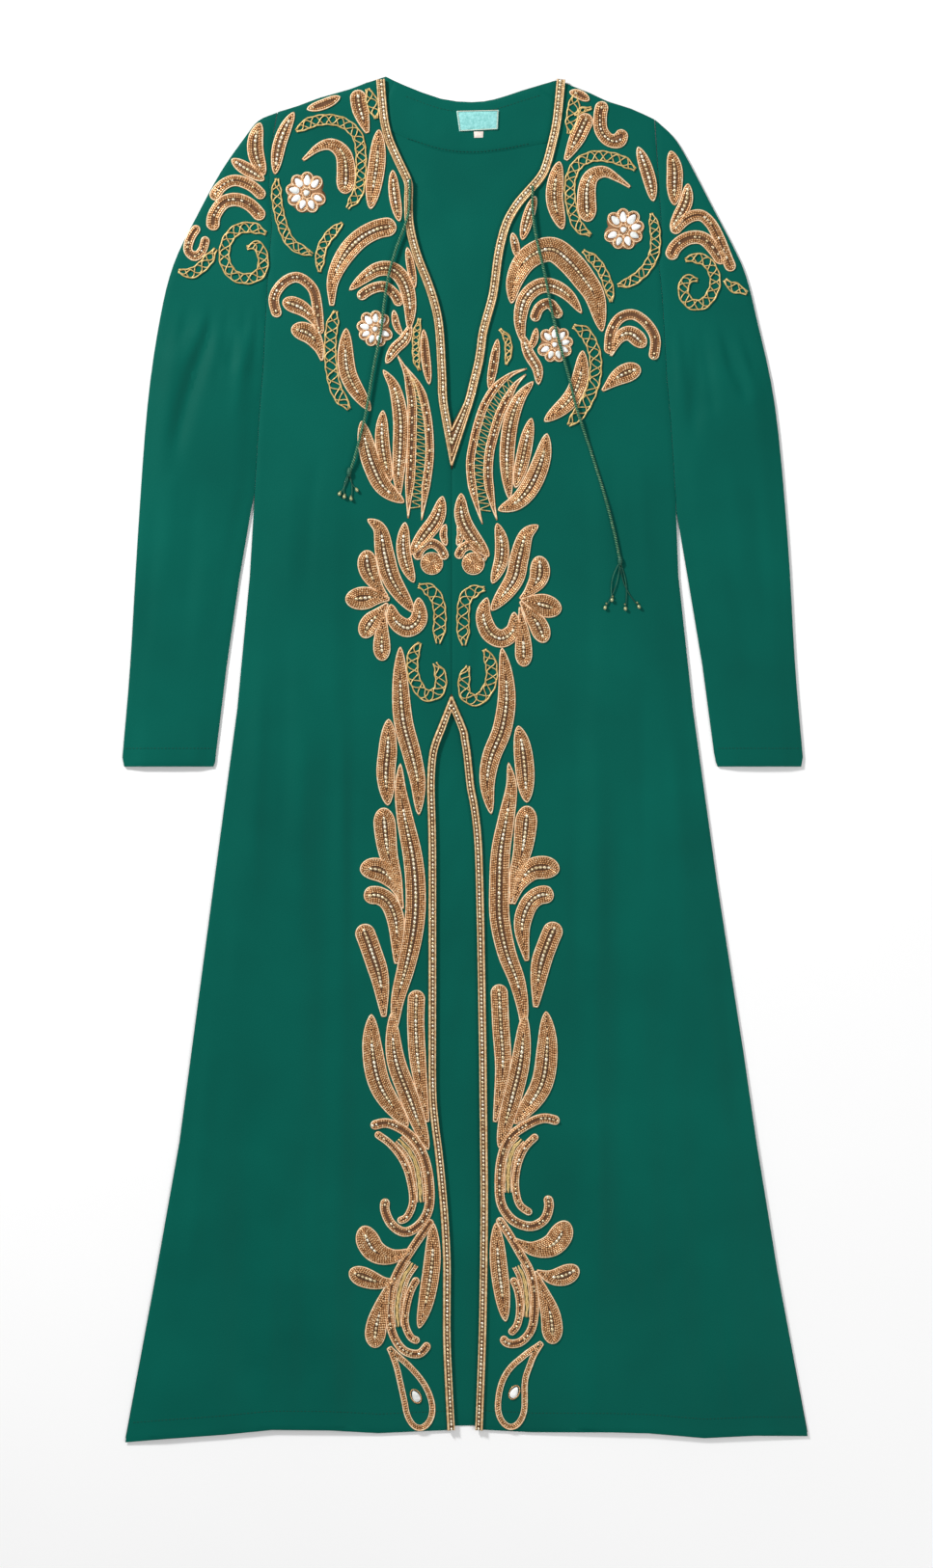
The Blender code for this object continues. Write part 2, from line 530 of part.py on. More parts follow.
def round_loop(x, y, radius, lobes, inset):
    """A disc, or a rosette with lobes, drawn in from its edge by inset."""
    count = 2 * lobes if lobes else 10
    loop = []
    for i in range(count):
        reach = radius * (0.76 if lobes and i % 2 else 1.0) - inset
        angle = 2.0 * math.pi * i / count
        loop.append((x + reach * math.cos(angle), y + reach * math.sin(angle)))
    return loop


def loops_of(rows, side, rounds=()):
    """Pairs of loops, foot and top, for the raised motifs of one side."""
    pairs = []
    for kind, width, left, right in rows:
        path = side_path(left, right, side)
        if path:
            pairs.append(motif_loops(kind, width, path))
    for x, y, radius, lobes in rounds:
        if side > 0:
            x, y = mirrored(((x, y),))[0]
        pairs.append((round_loop(x, y, radius, lobes, 0.0), round_loop(x, y, radius, lobes, RELIEF_EDGE)))
    return pairs


def relief_at(points, pairs):
    """Height of the applique over the cloth: full inside a top loop, none outside a foot loop."""
    height = np.zeros(len(points))
    for foot, top in pairs:
        low, high = np.min(foot, axis=0) - 1.0, np.max(foot, axis=0) + 1.0
        near = np.where(((points >= low) & (points <= high)).all(axis=1))[0]
        if not len(near):
            continue
        spots = points[near]
        edge, _ = distance_to(spots, [*foot, foot[0]])
        rise = np.where(inside(spots, foot), np.clip(edge / (RELIEF_EDGE * 0.8), 0.0, 1.0), 0.0)
        rim, _ = distance_to(spots, [*top, top[0]])
        rise[inside(spots, top) | (rim < 0.02)] = 1.0
        rise[edge < 0.02] = 0.0
        height[near] = np.maximum(height[near], RELIEF * rise)
    return height


def folds_at(points, folds):
    """Share of the rise that the troughs leave."""
    share = np.ones(len(points))
    for width, depth, path in folds:
        gap, along = distance_to(points, smooth_path(path, 4))
        ends = ramp(along, 0.0, 0.22) * (1.0 - 0.8 * ramp(along, 0.75, 1.0))
        share *= 1.0 - depth * np.exp(-(gap / width) ** 2) * ends
    return share


def front_lift(points, side):
    """How far the front rises off the back: none under the embroidery, softly in the free cloth."""
    x, y = np.abs(points[:, 0]), points[:, 1]
    edge = [*armhole(side)[1:], *column(SIDE, side)]
    gap, _ = distance_to(points, edge)
    high = FOLD_RISE * (0.45 + 0.55 * ramp(-y, -300, 0))
    zone = ramp(x, *FOLD_BORDER) * (1.0 - ramp(y, *FOLD_TOP)) * ramp(gap, 0, FOLD_SIDE)
    hem = 0.4 + 0.6 * ramp(y, -700, -640)
    return high * zone * hem * folds_at(points, SKIRT_FOLDS[side])


def sleeve_lift(points, side):
    """How far the sleeve's upper cloth rises off its lower cloth."""
    y = points[:, 1]
    edge = [*sleeve_inner(side)[::-1], *armhole(side)[::-1], *smooth_path(SLEEVE_OUTER[side], 2)]
    gap, _ = distance_to(points, edge)
    top = SLEEVE_FOLD_TOP[side]
    high = SLEEVE_RISE * (0.35 + 0.65 * ramp(y, 180, 400)) * (1.0 - ramp(y, top - 75, top))
    away = ramp(y, CUFF_Y - 2, 70)
    mouth = CUFF_MOUTH * (1.0 - ramp(y, CUFF_Y, 60)) * ramp(gap, 3, SLEEVE_EDGE)
    return high * ramp(gap, 0, SLEEVE_EDGE) * away * folds_at(points, SLEEVE_FOLDS[side]) + mouth


def armhole(side):
    return [SHOULDER[side][-1], *side_path(ARMHOLE, MIRROR, side)]


def sleeve_inner(side):
    """From the armpit to the cuff."""
    start = armhole(side)[-1]
    return [(start[0] + side * SEAM * 2, start[1] - 1.0), *column(SLEEVE_INNER, side)]


def neck_edge(side, out):
    """The front's neck edge from the shoulder down, moved outward from the opening."""
    edge = offset(smooth_path(column(NECK_EDGE, side), 2), side * out)
    return [tuple(point) for point in edge]


def slit_edge(side, out):
    """The edge of the opening below the waist from its top down, moved outward."""
    edge = offset(smooth_path(column(SLIT_EDGE, side), 2), side * out)
    return [tuple(point) for point in edge]


def seam_x(side):
    return CENTRE_SEAM_X + side * SEAM / 2


def front_outline(side):
    """One front, from the neck point along the shoulder, down the side and back up the middle."""
    slit = slit_edge(side, UNDER_TRIM)
    slit[-1] = (slit[-1][0], hem_y(slit[-1][0]))
    hem = [row for row in HEM if (row[0] - slit[-1][0]) * side > 8]
    hem.sort(key=lambda row: -row[0] * side)
    return [
        *smooth_path(SHOULDER[side], 2),
        *armhole(side)[1:],
        *column(SIDE, side)[1:-1],
        *hem,
        *slit[::-1],
        (seam_x(side), SLIT_TIP[0] + 4),
        (seam_x(side), NECK_TIP[0] - 4),
        *neck_edge(side, UNDER_TRIM)[::-1],
    ]


def back_outline():
    """The back: neck, right shoulder, right side, hem and the left side again."""
    right = [*SHOULDER[1], *armhole(1)[1:], *column(SIDE, 1)[1:-1]]
    left = [*SHOULDER[-1], *armhole(-1)[1:], *column(SIDE, -1)[1:-1]]
    hem = [(x, y + BACK_HEM_RISE) for x, y in HEM[::-1]]
    return [*smooth_path(BACK_NECK, 2), *smooth_path(right[:5], 2), *right[5:], *hem, *left[:4:-1],
            *smooth_path(left[:5], 2)[::-1]]


def grid_points(outline, step, keep, margin):
    """Points on a grid inside the outline where keep(points) holds."""
    low, high = np.min(outline, axis=0), np.max(outline, axis=0)
    across = np.arange(low[0] + step[0] / 2, high[0], step[0])
    up = np.arange(low[1] + step[1] / 2, high[1], step[1])
    spots = np.array([(x, y) for y in up for x in across])
    spots = spots[inside(spots, outline)]
    gap, _ = distance_to(spots, [*outline, outline[0]])
    spots = spots[gap > margin]
    return spots[keep(spots)]


def triangulate(outline, loops, spots):
    """Triangles of the area inside the outline, with the loops as edges and the spots as corners."""
    corners = [tuple(point) for point in outline]
    edges = []
    for loop in loops:
        first = len(corners)
        corners += [tuple(point) for point in loop]
        edges += [(first + i, first + (i + 1) % len(loop)) for i in range(len(loop))]
    corners += [tuple(point) for point in spots]
    rim = list(range(len(outline)))
    found = delaunay_2d_cdt(corners, edges, [rim], 1, 0.01)
    places = np.array([tuple(point) for point in found[0]])
    return places, [list(face) for face in found[2]]


def rim_of(faces):
    """The corners round the edge of a patch of faces, in order."""
    follows = {}
    once = set()
    for face in faces:
        for a, b in zip(face, face[1:] + face[:1]):
            once.add((a, b))
    for a, b in once:
        if (b, a) not in once:
            follows[a] = b
    start = min(follows)
    rim = [start]
    while follows[rim[-1]] != start:
        rim.append(follows[rim[-1]])
    return rim


def area_of(loop):
    """Signed area, above zero where the loop runs anticlockwise."""
    return sum(ax * by - bx * ay for (ax, ay), (bx, by) in zip(loop, loop[1:] + loop[:1])) / 2


def matching(places, targets):
    """The corner at each target place."""
    return [int(np.argmin(np.hypot(*(places - target).T))) for target in targets]


def solid_between(name, top, top_faces, low_height, inner_spots, key):
    """A cloth wall: a detailed outer side over a plainer inner side that shares its edge."""
    rim = rim_of(top_faces)
    edge = top[rim][:, :2]
    low, low_faces = triangulate(edge, [], inner_spots)
    heights = low_height(low)
    points = [*map(tuple, top), *[(x, y, z) for (x, y), z in zip(low, heights)]]
    base = len(top)
    low_rim = matching(low, edge)
    faces = [*top_faces, *[[base + i for i in reversed(face)] for face in low_faces]]
    for i in range(len(rim)):
        j = (i + 1) % len(rim)
        faces.append([rim[i], base + low_rim[i], base + low_rim[j], rim[j]])
    return add_object(name, points, faces, key)


def make_back():
    outline = back_outline()
    places, faces = triangulate(outline, [], [])
    top = np.column_stack([places, np.full(len(places), BACK_TOP)])
    solid_between("back", top, faces, lambda low: np.zeros(len(low)), [], "crepe")


def make_front(side, name):
    outline = front_outline(side)
    rounds = [(x, y, radius, ROSETTE_LOBES) for x, y, radius in ROSETTES]
    rounds += [(x, y, radius, 0) for x, y, radius in SCROLL_DISCS]
    pairs = loops_of(FRONT_MOTIFS, side, rounds)

    def free(spots):
        low = np.ones(len(spots), bool)
        for foot, _ in pairs:
            gap, _ = distance_to(spots, [*foot, foot[0]])
            low &= (gap > 5.0) & ~inside(spots, foot)
        return low & (front_lift(spots, side) > 0.05)

    spots = grid_points(outline, (17, 58), free, 6)
    places, faces = triangulate(outline, [loop for pair in pairs for loop in pair], spots)
    heights = FRONT_TOP + front_lift(places, side) + relief_at(places, pairs)
    top = np.column_stack([places, heights])
    plain = grid_points(outline, (22, 80), lambda spots: front_lift(spots, side) > 0.05, 8)
    solid_between(
        name, top, faces, lambda low: FRONT_INNER + INNER_SHARE * front_lift(low, side), plain, "crepe"
    )


def make_sleeve(side, name):
    """A flattened tube: its slot runs through from the armhole to the cuff."""
    seam = [tuple(point) for point in offset(armhole(side), side * SEAM)]
    seam[0] = (SLEEVE_OUTER[side][0][0], SLEEVE_OUTER[side][0][1])
    inner = sleeve_inner(side)
    outer = smooth_path(SLEEVE_OUTER[side], 2)
    x_in, x_out = inner[-1][0], outer[-1][0]
    cuff = [(x_in + (x_out - x_in) * share, CUFF_Y) for share in (0.02, 0.04, 0.2, 0.4, 0.6, 0.8, 0.96, 0.98)]

    def toward(a, b):
        a, b = np.array(a), np.array(b)
        return tuple(a + (b - a) * TURN / np.hypot(*(b - a)))

    seam = [seam[0], toward(seam[0], seam[1]), *seam[1:-1], toward(seam[-1], seam[-2]), seam[-1]]
    outline = [*seam, *inner[1:], *cuff, *outer[1:][::-1]]
    if side > 0:
        outline = outline[::-1]
    pairs = loops_of(SLEEVE_MOTIFS, side)
    low_side = offset(inner, side * TURN)
    high_side = offset(outer, -side * TURN)
    slot = [*seam[1:-1], *low_side[1:], *cuff[1:-1], *high_side[1:-1][::-1]]

    def free(spots):
        low = np.ones(len(spots), bool)
        for foot, _ in pairs:
            gap, _ = distance_to(spots, [*foot, foot[0]])
            low &= (gap > 4.0) & ~inside(spots, foot)
        return low & (spots[:, 1] < SLEEVE_WORK_LOW)

    spots = grid_points(outline, (12, 36), free, 5)
    top_places, top_faces = triangulate(outline, [loop for pair in pairs for loop in pair], spots)
    lift = sleeve_lift(top_places, side)
    top = [(x, y, FRONT_TOP + rise + extra)
           for (x, y), rise, extra in zip(top_places, lift, relief_at(top_places, pairs))]
    bottom_places, bottom_faces = triangulate(outline, [], [])
    bottom = [(x, y, 0.0) for x, y in bottom_places]
    floor_places, floor_faces = triangulate(slot, [], [])
    floor = [(x, y, BACK_TOP) for x, y in floor_places]
    plain = grid_points(slot, (15, 45), lambda spots: spots[:, 1] < SLEEVE_WORK_LOW, 6)
    roof_places, roof_faces = triangulate(slot, [], plain)
    roof = [(x, y, FRONT_INNER + INNER_SHARE * rise)
            for (x, y), rise in zip(roof_places, sleeve_lift(roof_places, side))]
    points = [*top, *bottom, *floor, *roof]
    starts = np.cumsum([0, len(top), len(bottom), len(floor)])
    faces = [[int(starts[0]) + i for i in face] for face in top_faces]
    faces += [[int(starts[1]) + i for i in reversed(face)] for face in bottom_faces]
    faces += [[int(starts[2]) + i for i in face] for face in floor_faces]
    faces += [[int(starts[3]) + i for i in reversed(face)] for face in roof_faces]

    def corner(layer, place):
        places = (top_places, bottom_places, floor_places, roof_places)[layer]
        return int(starts[layer]) + matching(places, [place])[0]

    mouth = {tuple(np.round(point, 6)) for point in [*seam[1:-1], *cuff[1:-1]]}
    open_pairs = [*zip(seam[1:-2], seam[2:-1]), *zip(cuff[1:-2], cuff[2:-1])]
    open_pairs = {frozenset((tuple(np.round(a, 6)), tuple(np.round(b, 6)))) for a, b in open_pairs}
    for a, b in zip(outline, outline[1:] + outline[:1]):
        key_a, key_b = tuple(np.round(a, 6)), tuple(np.round(b, 6))
        if frozenset((key_a, key_b)) in open_pairs:
            faces.append([corner(1, a), corner(1, b), corner(2, b), corner(2, a)])
            faces.append([corner(3, a), corner(3, b), corner(0, b), corner(0, a)])
            continue
        up = [corner(1, a), corner(1, b)]
        if key_b in mouth:
            up += [corner(2, b), corner(3, b)]
        up += [corner(0, b), corner(0, a)]
        if key_a in mouth:
            up += [corner(3, a), corner(2, a)]
        faces.append(up)
    for a, b in zip(slot, slot[1:] + slot[:1]):
        pair = frozenset((tuple(np.round(a, 6)), tuple(np.round(b, 6))))
        if pair not in open_pairs:
            faces.append([corner(2, a), corner(2, b), corner(3, b), corner(3, a)])
    add_object(name, points, faces, "crepe")


def slab(name, outline, low, high, key):
    """A flat piece with one outline."""
    count = len(outline)
    points = [(x, y, low) for x, y in outline] + [(x, y, high) for x, y in outline]
    faces = [list(range(count))[::-1], list(range(count, 2 * count))]
    faces += [[i, (i + 1) % count, count + (i + 1) % count, count + i] for i in range(count)]
    return add_object(name, points, faces, key)


def make_trim(name, inner, outer):
    """A raised strip between two edges, with sloped sides."""
    rows = []
    for near, far in zip(inner, outer):
        near, far = np.array(near), np.array(far)
        lean = (far - near) / np.hypot(*(far - near)) * TRIM_BEVEL
        rows.append([(*near, LAID_ON), (*(near + lean), LAID_ON + TRIM_THICK),
                     (*(far - lean), LAID_ON + TRIM_THICK), (*far, LAID_ON)])
    points = [point for row in rows for point in row]
    faces = [[3, 2, 1, 0], [len(points) - 4 + i for i in range(4)]]
    for i in range(len(rows) - 1):
        for j in range(4):
            k = (j + 1) % 4
            faces.append([4 * i + j, 4 * i + k, 4 * i + 4 + k, 4 * i + 4 + j])
    add_object(name, points, faces, "gold_cord")


def make_trims(side, word):
    inner = [*neck_edge(side, 0.0), (seam_x(side), NECK_TIP[0])]
    outer = [*neck_edge(side, NECK_TRIM), (seam_x(side), NECK_TIP[1])]
    make_trim("neck_trim_" + word, inner, outer)
    inner = [(seam_x(side), SLIT_TIP[0]), *slit_edge(side, 0.0)]
    outer = [(seam_x(side), SLIT_TIP[1]), *slit_edge(side, SLIT_TRIM)]
    make_trim("slit_trim_" + word, inner, outer)


def make_net(name, width, cells, path):
    """A band of couched cord with a hole for each cell: two rails joined by a bar after each cell."""
    length = float(np.sum(np.hypot(*np.diff(np.array(smooth_path(path, 12)), axis=0).T)))
    spine = even_path(path, 200)
    sides = normals_of(spine)
    bar = NET_BAR / length
    step = (1.0 - bar) / cells

    def place(mark, reach):
        spot = [np.interp(mark * 200, range(201), spine[:, axis]) for axis in (0, 1)]
        aside = [np.interp(mark * 200, range(201), sides[:, axis]) for axis in (0, 1)]
        return (spot[0] + aside[0] * reach, spot[1] + aside[1] * reach)

    rim = width / 2
    inner = rim - NET_BAR
    points = []
    for i in range(cells + 1):
        start, end = i * step, i * step + bar
        middle = {0: start, cells: end}.get(i, (start + end) / 2)
        points += [place(middle, -rim), place(start, -inner), place(end, -inner),
                   place(start, inner), place(end, inner), place(middle, rim)]
    patch = []
    for i in range(cells + 1):
        a = 6 * i
        patch += [[a + 1, a + 2, a + 4, a + 3], [a, a + 2, a + 1], [a + 3, a + 4, a + 5]]
        if i < cells:
            patch += [[a, a + 6, a + 7, a + 2], [a + 4, a + 9, a + 11, a + 5]]
    patch = [face if area_of([points[k] for k in face]) > 0 else face[::-1] for face in patch]
    count = len(points)
    solid = [(x, y, LAID_ON) for x, y in points] + [(x, y, LAID_ON + NET_THICK) for x, y in points]
    once = {(a, b) for face in patch for a, b in zip(face, face[1:] + face[:1])}
    faces = [face[::-1] for face in patch] + [[count + i for i in face] for face in patch]
    faces += [[a, b, count + b, count + a] for a, b in sorted(once) if (b, a) not in once]
    add_object(name, solid, faces, "gold_cord")


def cord_points(side):
    """The cord's centre line: over the trim, over the raised work, then down onto the plain cloth."""
    route = np.array(smooth_path(CORD_ROUTE[side], 12))
    length = float(np.sum(np.hypot(*np.diff(route, axis=0).T)))
    flat = even_path(CORD_ROUTE[side], round(length / CORD_STEP))
    high, low = RAISED_ENDS[side]
    start = np.hypot(*(flat - flat[0]).T)
    heights = OVER_RAISED + (OVER_TRIM - OVER_RAISED) * (1.0 - ramp(start, 48, 62))
    heights = np.minimum(heights, ON_CLOTH + (heights - ON_CLOTH) * ramp(flat[:, 1], low, high))
    return np.column_stack([flat, heights + front_lift(flat, side)])


def make_cord(side, word):
    curve = bpy.data.curves.new("tie_cord_" + word, "CURVE")
    curve.dimensions = "3D"
    curve.bevel_depth = CORD / 2 * MM
    curve.bevel_resolution = 2
    curve.use_fill_caps = True
    spots = cord_points(side)
    spline = curve.splines.new("POLY")
    spline.points.add(len(spots) - 1)
    for point, spot in zip(spline.points, spots):
        point.co = (*(spot * MM), 1.0)
    curve.materials.append(material("tie"))
    item = bpy.data.objects.new("tie_cord_" + word, curve)
    bpy.context.scene.collection.objects.link(item)


def swept(name, centres, radii, sides):
    """A closed body of round sections along a line of centres."""
    centres = np.array(centres, float)
    rings = []
    for i, centre in enumerate(centres):
        run = centres[min(i + 1, len(centres) - 1)] - centres[max(i - 1, 0)]
        run /= np.linalg.norm(run)
        aside = np.cross(run, (0.0, 0.0, 1.0))
        aside /= np.linalg.norm(aside)
        over = np.cross(aside, run)
        turns = [2.0 * math.pi * (j + 0.5) / sides for j in range(sides)]
        rings.append([tuple(centre + radii[i] * (math.cos(a) * aside + math.sin(a) * over)) for a in turns])
    points = [point for ring in rings for point in ring]
    faces = [list(range(sides)), [len(points) - sides + j for j in range(sides)][::-1]]
    for i in range(len(rings) - 1):
        for j in range(sides):
            k = (j + 1) % sides
            faces.append([sides * i + j, sides * i + sides + j, sides * i + sides + k, sides * i + k])
    return add_object(name, points, faces, "tie")


def make_tassel(side, word):
    """A knot with its strands fused into it, each ending in a bead."""
    knot, ends = TASSELS[side]
    knot = np.array(knot, float)

    def raised(spots, rise):
        spots = np.array(spots, float)
        return np.column_stack([spots, FRONT_TOP + LAYER_GAP + rise + front_lift(spots, side)])

    away = knot - np.mean(ends, axis=0)
    away /= np.hypot(*away)
    centres = raised([knot + away * step for step in (5.0, 3.2, 0.0, -3.2, -5.0)], KNOT)
    head = swept("tassel_" + word, centres, (1.0, 2.2, KNOT, 2.2, 1.0), 8)
    for end in ends:
        shares = (0.02, 0.5, 0.86, 0.9, 1.0, 1.08, 1.12)
        radii = (STRAND, STRAND, STRAND, BEAD * 0.8, BEAD, BEAD * 0.8, 0.6)
        centres = raised([knot + (np.array(end) - knot) * share for share in shares], BEAD)
        strand = swept("strand_tool", centres, radii, 4)
        strand.hide_render = True
        strand.display_type = "WIRE"
        join = head.modifiers.new("strand", "BOOLEAN")
        join.operation = "UNION"
        join.object = strand


def make_neck_pieces():
    left = [point for point in neck_edge(-1, 0.5) if point[1] > FACING_ARC[0][1]]
    right = [point for point in neck_edge(1, 0.5) if point[1] > FACING_ARC[-1][1]]
    top = [(x, y - 0.6) for x, y in smooth_path(BACK_NECK, 2) if left[0][0] + 4 < x < right[0][0] - 4]
    arc = smooth_path(FACING_ARC, 2)
    below = top[0][1] - 8
    outline = [*top, *[(x, y) for x, y in right if y < below], *arc[::-1][1:-1],
               *[(x, y) for x, y in left[::-1] if y < below]]
    low = FRONT_INNER
    slab("back_neck_facing", outline, low, low + FACING_THICK, "crepe")
    label_low = low + FACING_THICK + LAYER_GAP
    slab("label", LABEL, label_low, label_low + LABEL_THICK, "label")
    slab("size_tab", SIZE_TAB, label_low, label_low + LABEL_THICK * 0.8, "label")


def main():
    clear_scene()
    make_back()
    make_neck_pieces()
    for side, word in ((-1, "left"), (1, "right")):
        make_front(side, "front_" + word)
        make_sleeve(side, "sleeve_" + word)
        make_trims(side, word)
        for name, width, cells, left, right in NETS:
            path = side_path(left, right, side)
            if path:
                make_net(name + "_" + word, width, cells, path)
        make_cord(side, word)
        make_tassel(side, word)


main()
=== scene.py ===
"""Looks of a long silk kaftan laid flat: crepe, beaded applique, gems, gold nets, edgings and tie cords.

X runs to the right of the garment as it lies, Y towards the neck and Z up. Tables and names are in
millimetres, as in the garment's own construction, and every mesh is made in metres.
"""
import math

import bpy
import numpy as np
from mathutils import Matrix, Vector
from mathutils.geometry import delaunay_2d_cdt


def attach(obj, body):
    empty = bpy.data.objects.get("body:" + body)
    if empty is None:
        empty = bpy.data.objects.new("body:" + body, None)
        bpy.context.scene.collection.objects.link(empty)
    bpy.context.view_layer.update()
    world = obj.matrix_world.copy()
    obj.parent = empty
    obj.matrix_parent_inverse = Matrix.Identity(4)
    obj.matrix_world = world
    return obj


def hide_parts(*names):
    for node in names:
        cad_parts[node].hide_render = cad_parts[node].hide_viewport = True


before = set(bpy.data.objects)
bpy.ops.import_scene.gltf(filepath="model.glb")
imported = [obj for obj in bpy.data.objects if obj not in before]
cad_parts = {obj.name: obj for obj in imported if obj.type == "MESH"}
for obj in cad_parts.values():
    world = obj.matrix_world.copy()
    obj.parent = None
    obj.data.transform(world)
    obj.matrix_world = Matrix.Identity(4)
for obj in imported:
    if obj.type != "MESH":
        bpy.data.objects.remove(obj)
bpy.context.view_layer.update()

MM = 0.001

# Layers, from the floor up
WALL = 1.2
LAYER_GAP = 0.3
BACK_TOP = WALL
FRONT_INNER = BACK_TOP + LAYER_GAP
FRONT_TOP = FRONT_INNER + WALL
LAID_ON = FRONT_TOP + LAYER_GAP
RELIEF = 2.2
TRIM_THICK = 2.2
FACING_THICK = 1.0
LABEL_THICK = 1.0
TAB_SHARE = 0.8

# Seams and folds
SEAM = 0.3
CENTRE_SEAM_X = -14.0
UNDER_TRIM = 1.2
FOLD_RISE = 4.0
FOLD_BORDER = (112, 138)
FOLD_TOP = (260, 345)
FOLD_SIDE = 34
FOLD_LESS_HIGH = 0.55
FOLD_LESS_HEM = 0.6
FOLD_HEM = (-700, -640)
SLEEVE_RISE = 4.6
SLEEVE_EDGE = 24
SLEEVE_GROWS = (180, 400)
SLEEVE_FADE = 75
SLEEVE_FOLD_TOP = {-1: 479, 1: 458}
INNER_SHARE = 0.7
TURN = 1.5
CUFF_MOUTH = 2.6
CUFF_SHARES = (0.02, 0.04, 0.2, 0.4, 0.6, 0.8, 0.96, 0.98)

# Trims, cords and tassels
NECK_TRIM = 9.0
SLIT_TRIM = 8.0
CORD = 3.0
BEAD = 2.0
STRAND_RADIUS = 0.5

# Right-hand embroidery hangs lower than the left-hand one, most at the shoulder
DROP = 38.0
DROP_FROM = 180.0
DROP_FULL = 587.0

# Middle line of the embroidery: y, x
MIDDLE = (
    (700, 1), (440, 0), (330, -13), (65, -13), (-90, -10), (-270, -8), (-400, -4.5), (-520, 0), (-707, 0),
)

# Neck edge of the fronts: y, left x, right x
NECK_EDGE = (
    (705, -83, 95), (665, -79.5, 91), (640, -73, 86), (612, -60, 78), (597, -54, 67), (580, -54, 52),
    (560, -53.5, 40), (540, -50, 33.5), (520, -44, 29.5), (500, -36, 27), (480, -29, 24),
    (460, -24, 18.5), (440, -21.5, 13.5), (414, -20, 10), (370, -18, -1),
)
NECK_TIP = (346, 300)

# Inner edge of the trims on the front opening below the waist: y, left x, right x
SLIT_EDGE = (
    (30, -21, -6), (7, -29, -2), (-30, -31.5, 2), (-91, -30, 10), (-272, -30, 14), (-352, -29.5, 15),
    (-402, -24, 15.5), (-452, -19, 16), (-519, -15, 15.5), (-602, -15, 14), (-695, -10.5, 10.5),
)
SLIT_TIP = (50, 68)

# Curves of the outline: x, y
BACK_NECK = ((-82, 708), (-63, 699), (-25, 685), (7, 681.5), (31, 684.5), (59, 693.5), (94, 704))
SHOULDER = {
    -1: ((-102, 701.5), (-120, 694.5), (-150, 686), (-173, 677.5), (-194, 671)),
    1: ((111, 698), (130, 690.5), (148, 682), (172, 674.5), (196, 663.5)),
}
SLEEVE_OUTER = {
    -1: ((-195, 670.5), (-214, 662), (-228, 645), (-253, 609), (-279, 561), (-302, 513), (-316, 457),
         (-329, 367), (-339, 232), (-347, 97), (-355, 2)),
    1: ((197, 663), (216, 645), (231, 621), (256, 573), (278, 531), (291, 501), (302, 457), (321, 367),
        (334, 232), (342, 97), (350, 2)),
}
CUFF_Y = -7.5

# Armhole seam of the left side, from below the shoulder to the armpit: x, y
ARMHOLE = (
    (-200.5, 637), (-203, 597), (-200, 552), (-204, 507), (-207, 449), (-209, 407), (-213, 358),
    (-216, 308), (-218, 275),
)

# Side seam: y, left x, right x
SIDE = (
    (275, -218, 216), (190, -223, 221), (52, -236, 236), (-127, -260, 261), (-307, -284, 289),
    (-397, -296, 302), (-532, -320, 324), (-705, -352, 355),
)

# Inner edge of the sleeve: y, left x, right x
SLEEVE_INNER = ((257, -222, 219), (187, -234, 231), (97, -247, 246), (7, -258, 258), (-3, -259, 260))

# Hem of the fronts: x, y
HEM = (
    (-352, -708), (-312, -704.5), (-250, -700), (-200, -695), (-140, -695.5), (-90, -698.5), (-14, -695),
    (14, -694.5), (70, -697.5), (150, -697.5), (190, -698.5), (248, -703.5), (300, -701), (355, -701.5),
)
BACK_HEM_RISE = 4.0

# Folds of the skirt and the sleeves, as troughs between softly raised cloth: width, depth, path
SKIRT_FOLDS = {
    -1: (
        (17, 0.95, ((-139, 80), (-140, 0), (-142, -120), (-147, -420), (-151, -520))),
        (20, 0.90, ((-221, -330), (-226, -420), (-230, -560), (-234, -720))),
        (15, 0.45, ((-160, -350), (-165, -560), (-167, -720))),
        (16, 0.45, ((-198, 200), (-200, 0), (-203, -150))),
        (15, 0.40, ((-290, -400), (-303, -640))),
    ),
    1: (
        (20, 1.00, ((158, -10), (158, -250), (160, -450), (162, -600))),
        (15, 0.60, ((117, -180), (119, -330), (122, -470))),
        (15, 0.85, ((118, 330), (121, 260), (124, 200), (125, 110), (126, 30))),
        (16, 0.45, ((201, -180), (206, -400), (211, -640))),
        (16, 0.40, ((234, -240), (240, -450), (249, -720))),
        (18, 0.40, ((300, -450), (314, -680))),
    ),
}
SLEEVE_FOLDS = {
    -1: (
        (9, 1.00, ((-256, 510), (-257, 480), (-262, 455), (-272, 424), (-286, 380), (-296, 340),
                   (-302, 300))),
        (7, 0.75, ((-236, 490), (-239, 450), (-244, 395))),
        (6, 0.60, ((-224, 485), (-228, 440))),
        (8, 0.80, ((-211, 470), (-214, 420), (-219, 380))),
        (8, 0.55, ((-284, 480), (-290, 437))),
        (9, 0.50, ((-222, 290), (-236, 232), (-250, 170), (-259, 115))),
    ),
    1: (
        (10, 0.90, ((226, 497), (233, 455), (237, 410), (237, 375), (234, 318))),
        (8, 0.70, ((266, 450), (275, 425), (286, 393), (297, 365))),
        (7, 0.50, ((287, 467), (297, 440), (307, 402))),
        (7, 0.55, ((246, 440), (252, 400), (258, 350))),
        (8, 0.50, ((222, 250), (236, 180), (247, 110))),
    ),
}

